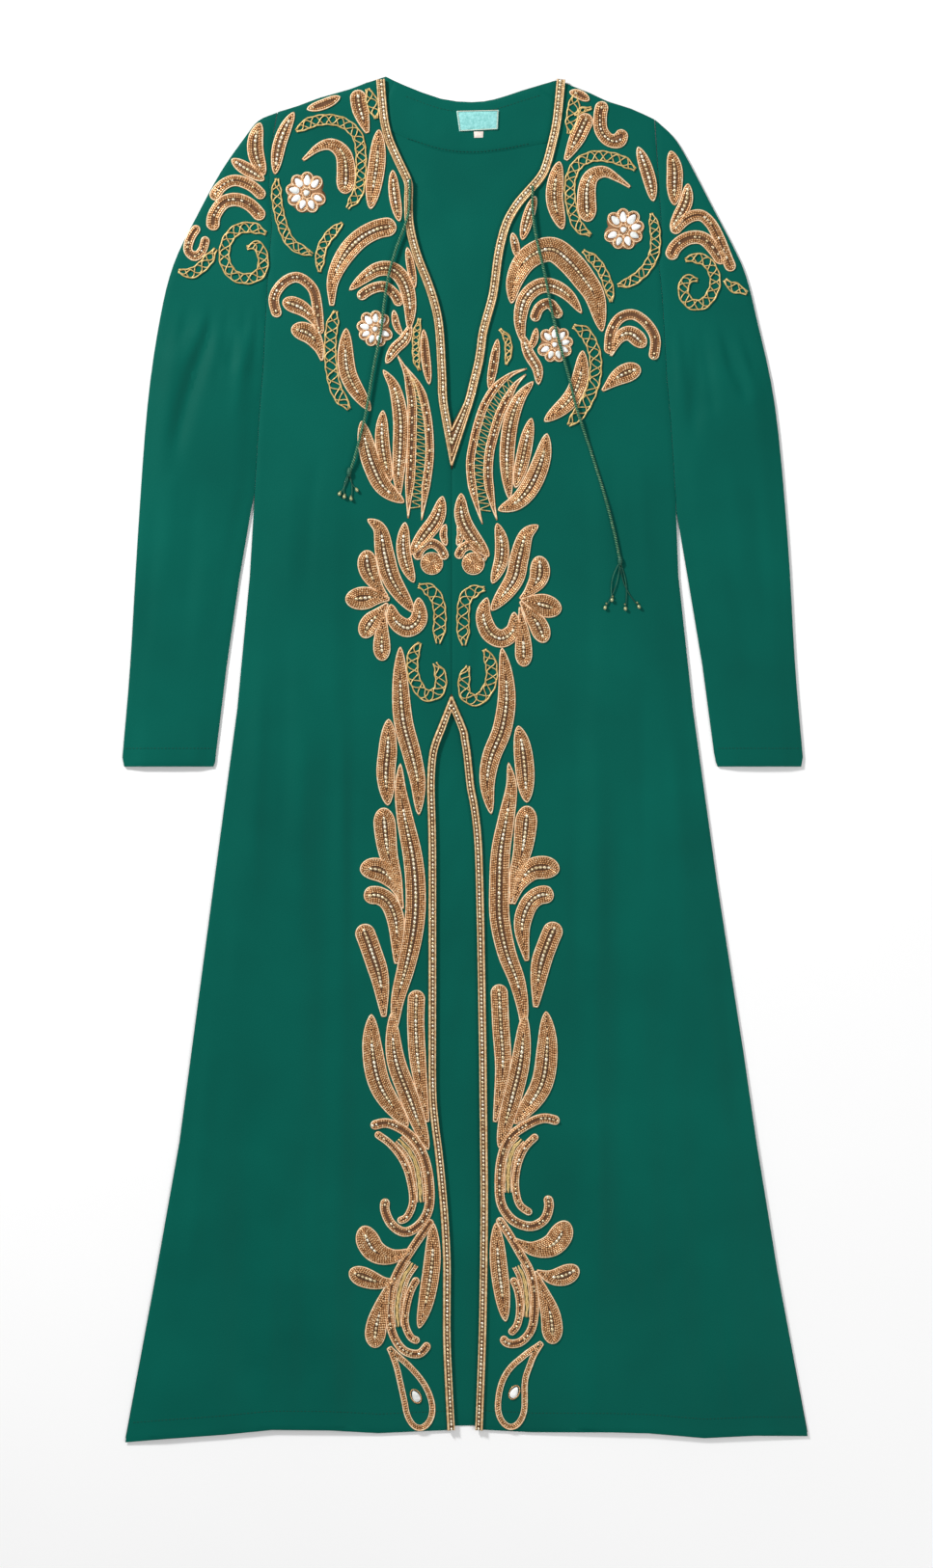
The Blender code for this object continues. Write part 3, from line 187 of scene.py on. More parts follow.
# Raised motifs of the fronts: kind, width, spine on the left, spine on the right. A drop's spine runs
# from its thin root to its round head. MIRROR takes the left spine across the middle line and lowers it.
MIRROR = "mirror"
LEAF_FULL = 2.4
LEAF_POINT = 0.6
SLIM_TIP = 0.15
DROP_ROOT = 0.18
HOOK_FROM = 0.45
HOOK_LOSS = 0.75
FRONT_MOTIFS = (
    ("leaf", 11, ((-164, 673.5), (-146, 679), (-129, 687)), None),
    ("band", 14, None, ((143, 682), (140, 667), (141, 652), (149, 642), (160, 641), (163, 653))),
    ("leaf", 10, None, ((108, 692), (118, 689), (129, 683))),
    ("leaf", 14, ((-177, 671), (-186, 654), (-193, 634), (-197, 606)),
     ((179, 635), (186, 617), (192, 597), (195, 578))),
    ("drop", 20, ((-168, 621), (-152, 634), (-138, 637), (-126, 627), (-123, 607), (-125, 586)),
     ((171, 593), (158, 602), (144, 609), (131, 604), (126, 588), (127, 557))),
    ("leaf", 18, ((-89, 653), (-91, 620), (-95, 592), (-98, 570)),
     ((98, 620), (94, 600), (93, 578), (101, 549))),
    ("hook", 17, ((-111, 694), (-110, 680), (-106, 665), (-101, 649)),
     ((128, 669), (119, 650), (111, 634), (104, 621))),
    ("leaf", 12, ((-75, 611), (-73, 585), (-68, 557)), ((73, 584), (66, 564), (59, 538))),
    ("hook", 20, ((-71, 553), (-92, 549), (-112, 537), (-128, 517), (-137, 495), (-138, 470)), None),
    ("leaf", 26, None, ((48, 472), (51, 495), (61, 515), (76, 526), (92, 528), (108, 516), (123, 498),
      (135, 478), (142, 443))),
    ("leaf", 16, ((-120, 486), (-106, 498), (-90, 508), (-74, 507), (-62, 493), (-57, 470),
      (-58, 444)),
     ((121, 462), (108, 480), (92, 490), (76, 490), (62, 477), (57, 455), (60, 430))),
    ("band", 11, ((-111, 478), (-98, 487), (-84, 490), (-73, 482), (-67, 470)),
     ((71, 454), (77, 468), (88, 472), (99, 458))),
    ("leaf", 12, ((-56, 451), (-62, 436), (-73, 425), (-82, 410)),
     ((59, 441), (66, 421), (75, 405), (76, 388))),
    ("leaf", 8, ((-74, 466), (-71, 450), (-65, 439)), MIRROR),
    ("leaf", 9, ((-60, 531), (-56, 510), (-52, 488)), ((49, 546), (52, 533), (54, 520))),
    ("leaf", 18, ((-123, 447), (-123.5, 415), (-118, 392), (-98, 361)),
     ((122, 424), (119, 395), (108, 372), (82, 350))),
    ("band", 11, ((-194, 458), (-198, 478), (-188, 494), (-173, 499.5), (-158, 488), (-153, 468),
      (-151, 440)),
     ((149, 420), (151, 442), (160, 457), (174, 461), (188, 452), (197, 436), (195, 414))),
    ("drop", 17, ((-152, 444), (-159, 458), (-170, 468), (-189, 475)),
     ((151, 418), (160, 437), (172, 441), (187, 428))),
    ("drop", 20, ((-148, 413), (-152, 428), (-162, 441), (-180, 447)),
     ((142, 382), (160, 397), (182, 406))),
    ("leaf", 10, ((-43, 446), (-41, 418), (-37, 388)), ((34, 436), (30, 412), (25, 383))),
    ("slim", 10, ((-70, 419), (-60, 398), (-55, 370), (-55, 340), (-56, 305), (-58, 275), (-59, 250)),
     ((63, 399), (52, 388), (43, 372), (35.5, 356), (29.5, 336), (25, 316), (24, 292), (28, 267),
      (33, 248))),
    ("slim", 9, ((-62, 408), (-47, 385), (-40, 360), (-37, 335), (-37, 310), (-41, 280), (-45, 248)),
     ((64, 405), (48, 399), (32, 386), (21, 369), (14, 350), (9, 330), (5.5, 308), (7.5, 283),
      (14, 257), (18, 244))),
    ("leaf", 16, ((-85, 404), (-73, 385), (-67, 355), (-67, 325), (-69, 295), (-68, 272)),
     ((71, 392), (57, 375), (48, 352), (44, 325), (43.5, 300), (46, 269))),
    ("leaf", 15, ((-85, 362), (-86, 335), (-83, 310), (-77, 288)),
     ((69, 354), (64, 332), (59, 308), (52, 281))),
    ("leaf", 20, ((-107, 351), (-102, 325), (-95, 303), (-84, 282), (-63, 266)),
     ((85, 338), (80, 312), (69, 285), (54, 267), (34, 258))),
    ("leaf", 17, ((-23, 273), (-29, 250), (-42, 232), (-57, 212)),
     ((-4, 276), (-3, 252), (6, 233), (25, 210))),
    ("leaf", 8, ((-20, 244), (-22.5, 233), (-19.5, 221)), ((-7, 244), (-4.5, 233), (-8, 221))),
    ("band", 10, ((-51, 207), (-45, 219), (-34.5, 224), (-25, 218), (-20, 207)),
     ((-8, 208), (-3, 218), (6, 222), (15, 216), (20, 205))),
    ("leaf", 20, ((-101, 249), (-88, 238), (-83, 212), (-75, 185), (-53, 152)),
     ((76, 243), (63, 232), (56, 208), (50, 185), (27, 154))),
    ("leaf", 15, ((-62, 246), (-64, 222), (-61, 203), (-53, 183)),
     ((33, 245), (38, 225), (37, 205), (28, 182))),
    ("drop", 21, ((-80, 168), (-91, 180), (-100, 197), (-102, 217)),
     ((57, 166), (68, 176), (77, 190), (77, 211))),
    ("drop", 24, ((-78, 166), (-92, 168), (-106, 167), (-124, 165)),
     ((58, 166), (73, 162), (87, 158), (100, 155))),
    ("drop", 20, ((-80, 162), (-90, 150), (-99, 140), (-106, 126)),
     ((57, 164), (68, 150), (76, 139), (83, 121))),
    ("drop", 18, ((-83, 154), (-86, 130), (-86, 102)), ((57, 158), (60, 130), (61, 96))),
    ("leaf", 19, ((-77, 161), (-73, 145), (-60, 136), (-48, 145), (-48, 168)),
     ((23, 168), (19, 150), (25, 132), (38, 125), (50, 134), (51, 153))),
    ("leaf", 20, ((-67, 117), (-67, 80), (-64, 40), (-55, 5), (-48.7, -25), (-48, -58)),
     ((38, 116), (42, 90), (43, 60), (38, 30), (27, 2), (23, -25), (27, -57))),
    ("leaf", 20, ((-79, 42), (-80, 10), (-82, -15), (-80, -48)),
     ((55, 35), (59, 15), (62, -12), (64, -45))),
    ("leaf", 21, ((-67, -4), (-67, -30), (-62, -62), (-54, -102), (-51, -140), (-53, -175),
      (-61, -215), (-70, -250), (-73, -285)),
     ((45, -3), (48, -28), (43, -60), (37, -95), (35.5, -130), (36, -165), (43, -200), (54, -230),
      (60, -260), (60, -285))),
    ("drop", 23, ((-65, -155), (-71, -125), (-80, -95), (-85, -50)),
     ((47, -150), (52, -120), (60, -92), (65, -48))),
    ("drop", 24, ((-67, -146), (-74, -128), (-88, -115), (-109, -113)),
     ((50, -150), (57, -128), (72, -113), (98, -113))),
    ("hook", 19, ((-105, -142), (-90, -141), (-78, -150), (-71, -172), (-71, -212)),
     ((92, -141), (77, -141), (65, -152), (59, -175), (64, -209))),
    ("hook", 21, ((-107, -171), (-97, -198), (-88, -228), (-84, -267)),
     ((95, -169), (86, -190), (78, -215), (73, -257))),
    ("hook", 18, ((-50, -239), (-51, -275), (-48, -320), (-39, -376)),
     ((35, -233), (37, -275), (39, -320), (31, -376))),
    ("leaf", 23, ((-97, -264), (-96, -300), (-87, -340), (-59, -381)),
     ((84, -261), (85, -300), (78, -340), (51, -378))),
    ("leaf", 20, ((-76, -262), (-72, -310), (-56, -355), (-38, -405)),
     ((62, -262), (58, -310), (49, -350), (35, -403))),
    ("band", 10, ((-98, -380), (-80, -377), (-60, -387), (-46, -404), (-38, -430), (-37, -462),
      (-46, -481), (-62, -490), (-76, -482), (-83, -467), (-82, -455)),
     ((98, -375), (80, -372), (60, -381), (45, -394), (37.5, -415), (35.5, -440), (38, -462),
      (50, -478), (68, -484), (82, -477), (87, -463), (85, -452))),
    ("band", 8, ((-93, -387), (-77, -399), (-64, -416), (-57, -435), (-54, -458), (-60, -474),
      (-70, -479)),
     ((75, -389), (63, -401), (56, -415), (52.5, -431), (52.5, -447), (57, -462), (69, -471))),
    ("drop", 25, ((-54, -508), (-76, -515), (-95, -508), (-107, -484)),
     ((50, -497), (70, -507), (92, -502), (107, -479))),
    ("drop", 21, ((-70, -540), (-86, -542), (-104, -537), (-120, -530)),
     ((74, -530), (88, -536), (102, -535), (118, -527))),
    ("drop", 22, ((-78, -540), (-86, -565), (-92, -588), (-94, -610)),
     ((73, -530), (82, -555), (89, -578), (91, -606))),
    ("band", 9, ((-34, -477), (-46, -494), (-58, -512), (-69, -530), (-77, -550), (-79, -572),
      (-75, -595), (-64, -612), (-48, -616), (-37, -605)),
     ((34, -475), (46, -493), (57, -512), (67, -530), (71.5, -550), (72, -573), (68, -592), (57, -604),
      (44, -605), (38, -598))),
    ("band", 8, ((-49, -537), (-56, -550), (-61, -568), (-62, -585), (-56, -599), (-47, -603)),
     ((49, -537), (55, -552), (56.8, -570), (54, -586), (46, -596))),
    ("leaf", 18, ((-33, -480), (-34, -520), (-40, -560), (-48, -590)),
     ((32, -480), (34.5, -520), (38, -550), (42, -583))),
    ("drop", 34, ((-79, -609), (-62, -635), (-49, -665), (-46, -696)),
     ((80, -604), (64, -622), (50, -648), (47, -695))),
)

# Rosettes: x, y and radius on the left; the right ones are mirrored
ROSETTES = ((-164, 587, 22), (-93, 446, 19))
SCROLL_DISCS = ((-34.5, 203, 11.5),)

SLEEVE_MOTIFS = (
    ("leaf", 17, ((-212, 660), (-217, 642), (-216, 625), (-208, 605)),
     ((213, 631), (217, 612), (217, 594), (217, 574))),
    ("leaf", 14, ((-242, 622), (-230, 614), (-218, 607), (-208, 600)),
     ((231, 597), (229, 578), (221, 562), (213, 549))),
    ("band", 12, ((-262, 580), (-252, 594), (-238, 600), (-221, 594), (-208, 582)),
     ((214, 546), (229, 560), (243, 564), (254, 556), (263, 540), (271, 520), (277, 506))),
    ("band", 14, ((-261, 548), (-260, 563), (-250, 577), (-236, 580), (-222, 574), (-209, 560)),
     ((212, 518), (218, 531), (231, 540), (246, 540), (258, 529), (268, 514))),
    ("band", 9.5, ((-276, 553), (-284, 541), (-287, 528), (-280, 521), (-272, 528), (-268, 542)), None),
)

# Open nets of couched cord: name, width, spine on the left, spine on the right
NETS = (
    ("net_ring", 9, ((-175, 651), (-160, 660), (-142, 663), (-125, 659), (-112, 647), (-108, 630),
      (-108, 605), (-111, 587), (-122, 571)),
     ((176, 611), (165, 619), (150, 624), (133, 625), (118, 618), (110, 604), (108.5, 588), (111, 570),
      (117, 553), (130, 543))),
    ("net_ring_low", 8.5, ((-195, 602), (-195, 580), (-189, 553), (-179, 534), (-158, 523)),
     ((193, 566), (197, 546), (196, 525), (187, 508), (173, 496), (158, 491))),
    ("net_strip", 8, ((-127, 556), (-141, 542), (-149, 527), (-151, 505)),
     ((122, 527), (136, 515), (145, 500), (150, 484), (151, 474))),
    ("net_spiral", 9, ((-206, 545), (-220, 551), (-236, 549), (-247, 536), (-249, 517),
      (-240, 502), (-225, 498), (-212, 504), (-209, 519), (-215, 532), (-226, 530)),
     ((228, 517.5), (238, 519.5), (250, 516), (258, 503), (258, 488), (248, 473), (234, 472),
      (226, 484), (230, 497), (241, 497))),
    ("net_edge", 9, ((-297, 506), (-283, 504), (-270, 513), (-258, 529)),
     ((269, 497), (275, 491), (284, 487), (292, 483))),
    ("net_chest", 10.5, ((-134, 465), (-139, 440), (-139, 410), (-133, 382), (-120, 363)),
     ((112, 449), (125, 441), (134, 422), (135, 400), (130, 380), (120, 361), (107, 346))),
    ("net_neck", 5.5, ((-47, 457), (-50.7, 437), (-50.5, 415), (-47.5, 403)),
     ((36, 446), (43.5, 436), (45, 422), (42.5, 409))),
    ("net_waist", 11, ((-48.5, 180), (-39, 177), (-30, 168), (-26, 150), (-28, 120)),
     ((20.5, 177), (11, 175), (1, 168), (-2, 150), (-1.5, 118))),
    ("net_waist_low", 10, ((-47, 121), (-54, 106), (-53, 85), (-42, 67), (-28, 70), (-25, 85),
      (-31, 100)),
     ((20, 114), (27, 98), (26, 78), (14, 62), (1, 66), (-1, 82), (3, 97))),
    ("net_hook", 5.5, ((-69, -393.5), (-58, -405.5), (-50.7, -420), (-47.2, -440), (-46.2, -459)),
     ((58.5, -393.5), (50.5, -403), (46.3, -416), (44.5, -431), (44.8, -449))),
    ("net_stem", 5.2, ((-54, -522), (-63, -536), (-68, -552), (-70.5, -570), (-69, -588)),
     ((55, -524.5), (60.7, -537), (63.3, -552), (64.2, -567), (63.4, -578))),
)

# Tie cords, lying on the fronts: x, y
CORD_ROUTE = {
    -1: ((-57, 601), (-58, 570), (-63, 551), (-71, 530), (-79, 502), (-84, 471), (-87, 443), (-94, 410),
         (-102, 363), (-106, 345), (-112, 321), (-117, 304)),
    1: ((70, 594), (70, 571), (73, 544), (82, 505), (91, 459), (99, 427), (108, 394), (116, 362),
        (130, 320), (144, 275), (153, 241), (159, 213)),
}
OVER_RAISED = FRONT_TOP + RELIEF + LAYER_GAP + CORD / 2
OVER_TRIM = LAID_ON + TRIM_THICK + LAYER_GAP + CORD / 2
ON_CLOTH = FRONT_TOP + LAYER_GAP + CORD / 2

# How far along its route a cord comes down off the edging, and the y values where it leaves the raised work
LEAVES_TRIM = (48, 62)
RAISED_ENDS = {-1: (314, 292), 1: (352, 326)}

# Knot, then the ends of its strands: x, y
TASSELS = {
    -1: ((-120, 297), ((-130, 275), (-125, 272), (-118, 270), (-112, 279))),
    1: ((160.5, 205), ((145, 157), (152, 165), (166, 156), (180, 158))),
}

# Corners of the label and the size tab, and the lower edge of the facing: x, y
LABEL = ((-9, 672), (35, 673), (34, 653), (-6, 651))
SIZE_TAB = ((9, 650.7), (19, 650.9), (18.5, 644.5), (9.5, 644.3))
FACING_ARC = ((-60, 641.5), (-24, 630.5), (7, 627.5), (38, 630.5), (66, 636))

# Rows of beads and cords
ROW_STEP = 1.75
SEED = 0.92
SEED_PITCH = 2.5
OUTLINE_CORD = 0.8
PAD_RISE = 1.15
PAD_EDGE = 2.4
GOLD = 1.95
GOLD_PITCH = 4.3
SLOT_HALF = 2.0
THREAD = 0.72
NET_SPREAD = 2.5
CREASE_SCALE = 1.8
SEED_WAIST = 0.58
# Tone of the thin ring between seed beads, a painted shade
SEED_PAINTED_SHADE = 0.12
STONE_SIDES = 12
DISC_SIDES = 24
TIE_SIDES = 10
TIE_TWIST = 5.2
TIE_STEP = 0.9

# Rise of what lies on a pad or on plain cloth, the pad's own edge, and the depth over which the pad darkens
# to painted shade
CORD_RISE = 0.3
SEED_RISE = 0.45
PAD_LIP = 0.03
PAD_PAINTED_SHADE = 3.6
THREAD_RISE = 0.6
RAIL_RISE = 0.95
OVER_RISE = 1.15

# Nets: step along the spine, length over which the ends draw together, and how the rails sway
NET_STEP = 1.3
NET_END = 13.0
NET_END_SHARE = 0.3
SWAY = 0.35
SWAY_TURN = 0.55

UP = np.array((0.0, 0.0, 1.0))
TINY = 1e-9

# Steps along a curve's span and a motif's spine, and the stations that are closest at the spine's ends
PATH_STEPS = 12
SPINE_STEPS = 160
STATIONS = 0.5 - 0.5 * np.cos(math.pi * np.linspace(0.0, 1.0, 73))

# Small creases, as ridges above 0 and troughs below: width, height, path
FRONT_CREASES = {
    -1: (
        (9, 0.7, ((-166, 60), (-170, -60), (-172, -200))),
        (8, -0.6, ((-186, 150), (-186, 20), (-190, -140))),
        (8, 0.5, ((-210, 120), (-216, -40), (-222, -180))),
        (10, -0.5, ((-245, -120), (-252, -280), (-262, -430))),
        (9, 0.6, ((-262, -260), (-276, -420), (-290, -560))),
        (8, -0.5, ((-186, -420), (-190, -560), (-192, -690))),
        (7, 0.45, ((-128, 60), (-129, -40), (-131, -160))),
        (6, -0.5, ((-118, 20), (-117, -120), (-120, -250))),
        (9, 0.5, ((-152, -330), (-156, -480), (-158, -640))),
        (5, -0.35, ((-18, 130), (-17, 100), (-18, 66))),
        (5, 0.3, ((-8, 150), (-7, 110), (-10, 74))),
        (9, -0.45, ((-212, -500), (-216, -600), (-221, -700))),
        (7, -0.5, ((-150, 330), (-160, 250), (-164, 160))),
        (8, 0.4, ((-176, 320), (-180, 230), (-184, 130))),
    ),
    1: (
        (9, 0.7, ((140, 40), (139, -100), (141, -260))),
        (8, -0.5, ((182, 120), (184, -30), (186, -180))),
        (9, 0.6, ((216, 60), (222, -100), (230, -260))),
        (10, -0.5, ((262, -100), (272, -260), (284, -420))),
        (9, 0.5, ((290, -330), (304, -500), (318, -650))),
        (8, -0.5, ((180, -300), (184, -460), (188, -620))),
        (7, 0.5, ((138, -330), (140, -450), (142, -580))),
        (6, -0.4, ((112, -60), (114, -160), (116, -260))),
        (5, 0.3, ((4, 140), (3, 110), (0, 76))),
        (5, -0.35, ((14, 150), (14, 110), (10, 80))),
        (8, -0.45, ((262, -540), (270, -620), (278, -700))),
        (7, -0.5, ((150, 320), (156, 240), (160, 150))),
        (8, 0.4, ((178, 330), (184, 250), (188, 160))),
    ),
}
SLEEVE_CREASES = {
    -1: (
        (6, 0.6, ((-268, 470), (-276, 440), (-290, 405))),
        (5, -0.5, ((-248, 470), (-252, 430), (-258, 380))),
        (6, 0.5, ((-230, 450), (-234, 400), (-240, 340))),
        (9, 0.6, ((-300, 330), (-306, 250), (-312, 160))),
        (8, -0.5, ((-276, 300), (-284, 220), (-290, 130))),
        (9, 0.4, ((-262, 240), (-274, 160), (-284, 70))),
        (7, -0.4, ((-316, 300), (-324, 200), (-332, 90))),
        (3.5, -0.5, ((-262, 500), (-264, 462), (-270, 415))),
        (3.5, -0.5, ((-244, 500), (-246, 460), (-252, 405))),
        (3.5, -0.5, ((-227, 500), (-229, 455), (-233, 400))),
        (3.2, -0.45, ((-213, 490), (-215, 450), (-219, 400))),
        (3.5, -0.45, ((-281, 500), (-288, 465), (-299, 420))),
    ),
    1: (
        (6, 0.5, ((250, 470), (262, 440), (272, 400))),
        (5, -0.5, ((238, 450), (244, 400), (248, 340))),
        (6, 0.5, ((276, 440), (290, 400), (300, 350))),
        (9, 0.5, ((270, 330), (282, 250), (290, 160))),
        (8, -0.5, ((296, 310), (306, 220), (314, 120))),
        (9, 0.4, ((258, 230), (272, 150), (284, 60))),
        (3.5, -0.5, ((224, 478), (227, 430), (230, 375))),
        (3.5, -0.5, ((243, 478), (248, 430), (255, 380))),
        (3.5, -0.5, ((262, 472), (269, 430), (280, 385))),
        (3.2, -0.45, ((211, 465), (213, 420), (217, 370))),
        (3.5, -0.45, ((283, 462), (292, 425), (303, 385))),
    ),
}
BACK_CREASES = (
    (7, 0.8, ((-24, -60), (-12, -20), (-4, 10))),
    (7, 0.7, ((-22, -120), (-8, -70), (2, -30))),
    (8, 0.8, ((-22, -200), (-8, -140), (4, -90))),
    (9, 0.7, ((-18, -300), (-10, -240), (4, -180))),
    (8, -0.5, ((-10, -330), (-4, -260), (6, -190))),
    (9, 0.6, ((-6, -420), (-2, -350), (4, -290))),
    (7, 0.6, ((2, -560), (-2, -480), (2, -420))),
    (6, 0.8, ((3, -640), (-2, -580), (-4, -520))),
    (10, 0.9, ((-52, 612), (-36, 590), (-24, 560))),
    (12, 0.6, ((-28, 560), (-18, 500), (-6, 440))),
    (10, 0.5, ((10, 600), (8, 540), (2, 470))),
)

# Rings of a round pad: share of its reach, rise
ROUND_PAD = ((1.0, PAD_LIP), (0.82, 0.8), (0.4, 1.05))

# Petals of a rosette: turn in degrees, then shares of the radius: how far out the stone sits, its length
# and its width
PETALS = (
    (88, 0.60, 0.52, 0.30), (128, 0.62, 0.54, 0.32), (168, 0.60, 0.52, 0.30), (208, 0.58, 0.48, 0.28),
    (250, 0.58, 0.46, 0.27), (292, 0.60, 0.46, 0.27), (334, 0.60, 0.48, 0.28), (48, 0.60, 0.50, 0.29),
)

# Nets too small for holes of their own: width, spine on the left, spine on the right
SMALL_NETS = (
    (13, ((-101, 695), (-96, 680), (-92, 664)), ((114, 690), (112, 672), (108, 648))),
    (8, None, ((113, 668), (122, 673), (131, 675))),
)

# Turns of the thread that winds between the two narrow bands of one side
ZIGZAG_TURNS = 24

# Mesh steps of the cloths: upper side, lower side
STEPS = {"back": (6.0, 60.0), "front": (3.4, 16.0), "sleeve": (3.4, 14.0), "facing": (3.2, 30.0),
         "label": (1.8, 20.0), "tab": (1.2, 3.0)}

# Cloth edges and stitched hems
EDGE_DROP = 0.8
EDGE_ROUND = 3.0
HEM_DEPTH = 20.0
CUFF_DEPTH = 19.0
STITCH_LIFT = 0.1
EDGE_BEAD_PITCH = 3.9

# Motifs above this height are the upper work. The one of the PAISLEY width is open round a stone, and a
# motif of an open kind shows a middle row of champagne beads where it is wide enough.
WORK_SPLIT = 60.0
PAISLEY = 34
OPEN_KINDS = ("leaf", "hook", "drop")
OPEN_WIDTH = 12
BANDED_NETS = ("net_hook", "net_stem")
BANDED_LESS = 2.0

# Rows of the edgings: place from the opening's edge to the far edge, radius, style
NECK_ROWS = ((0.9, 1.0, "cord"), (0.7, 0.95, "seeds"), (0.42, 1.75, "beads"), (0.12, 1.0, "cord"))
SLIT_ROWS = ((0.82, 1.3, "cord"), (0.42, 1.5, "beads"), (0.09, 0.85, "cord"))

# Strip under those rows: share of the way across, height
EDGE_TOP = 1.5
EDGE_SECTION = ((0.0, 0.3), (0.1, EDGE_TOP), (0.9, EDGE_TOP), (1.0, 0.3))

# The knot of a tie cord, along its length
KNOT_RADII = (1.2, 1.7, 2.1, 2.4, 2.5, 2.4, 2.1, 1.5, 0.9)
KNOT_TONES = (0.2, 0.7, 0.2, 0.8, 0.2, 0.7, 0.2, 0.6, 0.3)

# Creases of the back neck facing, and the line of stitches below its top edge
FACING_CREASES = (
    (9, 0.35, ((-30, 655), (-18, 645), (-2, 638))),
    (8, -0.3, ((40, 668), (48, 655), (54, 642))),
    (10, 0.3, ((-52, 680), (-42, 665), (-34, 652))),
)
NECK_BAND = ((-61, 687), (-25, 674.5), (7, 671), (31, 674), (59, 682.5), (80, 689))

# Stone of the lowest drop: x, y, turn in degrees
PAISLEY_STONE = {-1: (-51, -660, 118), 1: (51, -656, 62)}

# Camera, lights and table, in metres
CAMERA_PLACE = (0.0015, -0.0255, 5.0)
FRAME_HEIGHT = 1.626
SENSOR = 36.0
LIGHTS = {"key": ((-2.0, 2.1, 1.8), 0.6, 108.0), "fill": ((1.6, -0.8, 2.6), 2.4, 34.0)}
WORLD = 0.36
TABLE_HALF = 4.0
TABLE_TOP = -0.0004

DRAW = np.random.default_rng(41)


def smooth_path(points, pieces):
    """Catmull-Rom curve through the points, with a number of pieces to each span."""
    points = [np.array(point, float) for point in points]
    if len(points) < 3:
        return [tuple(points[0] + (points[1] - points[0]) * i / pieces) for i in range(pieces + 1)]
    padded = [2 * points[0] - points[1], *points, 2 * points[-1] - points[-2]]
    curve = []
    for i in range(len(points) - 1):
        a, b, c, d = padded[i:i + 4]
        for j in range(pieces):
            t = j / pieces
            curve.append(tuple(0.5 * (2 * b + (c - a) * t + (2 * a - 5 * b + 4 * c - d) * t ** 2
                                      + (3 * b - a - 3 * c + d) * t ** 3)))
    curve.append(tuple(points[-1]))
    return curve


def run_lengths(line):
    """How far along the line each of its points lies."""
    steps = np.diff(np.asarray(line, float), axis=0)
    return np.concatenate([[0.0], np.cumsum(np.sqrt(np.sum(steps * steps, axis=1)))])


def spots_on(line, places, marks):
    """The line's points at the marks; places says how far along each known point lies."""
    return np.stack([np.interp(marks, places, values) for values in np.asarray(line, float).T], axis=-1)


def even_path(points, count):
    """The smooth curve through the points, cut into count pieces of equal length."""
    fine = smooth_path(points, PATH_STEPS)
    places = run_lengths(fine)
    return spots_on(fine, places, np.linspace(0.0, places[-1], count + 1))


def normals_of(path):
    """Unit normals, to the left of the way the path runs."""
    run = np.gradient(path, axis=0)
    run /= np.hypot(run[:, 0], run[:, 1])[:, None]
    return np.stack([-run[:, 1], run[:, 0]], axis=1)


def offset(path, distance):
    path = np.array(path, float)
    return path + normals_of(path) * np.reshape(distance, (-1, 1))


def ramp(value, start, end):
    """0 at start, 1 at end, smooth between."""
    t = np.clip((np.asarray(value, float) - start) / (end - start), 0.0, 1.0)
    return t * t * (3.0 - 2.0 * t)


def middle_x(y):
    rows = MIDDLE[::-1]
    return np.interp(y, [row[0] for row in rows], [row[1] for row in rows])


def mirrored(path):
    """A left-hand path carried across the middle line and lowered as the right side hangs."""
    result = []
    for x, y in path:
        lean = middle_x(y) * (1.0 - float(ramp(abs(x), 110, 190)))
        share = min(max((y - DROP_FROM) / (DROP_FULL - DROP_FROM), 0.0), 1.0)
        result.append((2.0 * lean - x, y - DROP * share ** 2))
    return tuple(result)


def side_path(left, right, side):
    if side < 0:
        return left
    return mirrored(left) if isinstance(right, str) else right


def column(rows, side):
    """The x, y points of one side from rows of y, left x, right x."""
    return [(row[1] if side < 0 else row[2], row[0]) for row in rows]


def hem_y(x):
    return float(np.interp(x, [row[0] for row in HEM], [row[1] for row in HEM]))


def distance_to(points, path):
    """Distance of each point to an open path, and how far along the path the nearest place is, 0 to 1."""
    path = np.array(path, float)
    lengths = run_lengths(path)
    best = np.full(len(points), 1e9)
    along = np.zeros(len(points))
    for i in range(len(path) - 1):
        run = path[i + 1] - path[i]
        size = float(run @ run)
        if size == 0.0:
            continue
        t = np.clip((points - path[i]) @ run / size, 0.0, 1.0)
        gap = np.hypot(*(points - path[i] - t[:, None] * run).T)
        nearer = gap < best
        best[nearer] = gap[nearer]
        along[nearer] = (lengths[i] + t[nearer] * math.sqrt(size)) / lengths[-1]
    return best, along


def inside(points, loop):
    """Whether each point lies inside a closed loop."""
    loop = np.array(loop, float)
    x, y = points[:, 0], points[:, 1]
    result = np.zeros(len(points), bool)
    for (ax, ay), (bx, by) in zip(loop, np.roll(loop, -1, axis=0)):
        if ay == by:
            continue
        crosses = (ay > y) != (by > y)
        result ^= crosses & (x < (bx - ax) * (y - ay) / (by - ay) + ax)
    return result


def caps_of(kind, width, length):
    """Shares of the spine that a round start and a round end take up."""
    cap = min(width / 2 / length, 0.42)
    start = cap if kind in ("band", "hook") else 0.0
    end = {"band": cap, "drop": min(1.5 * cap, 0.7)}.get(kind, 0.0)
    return start, end


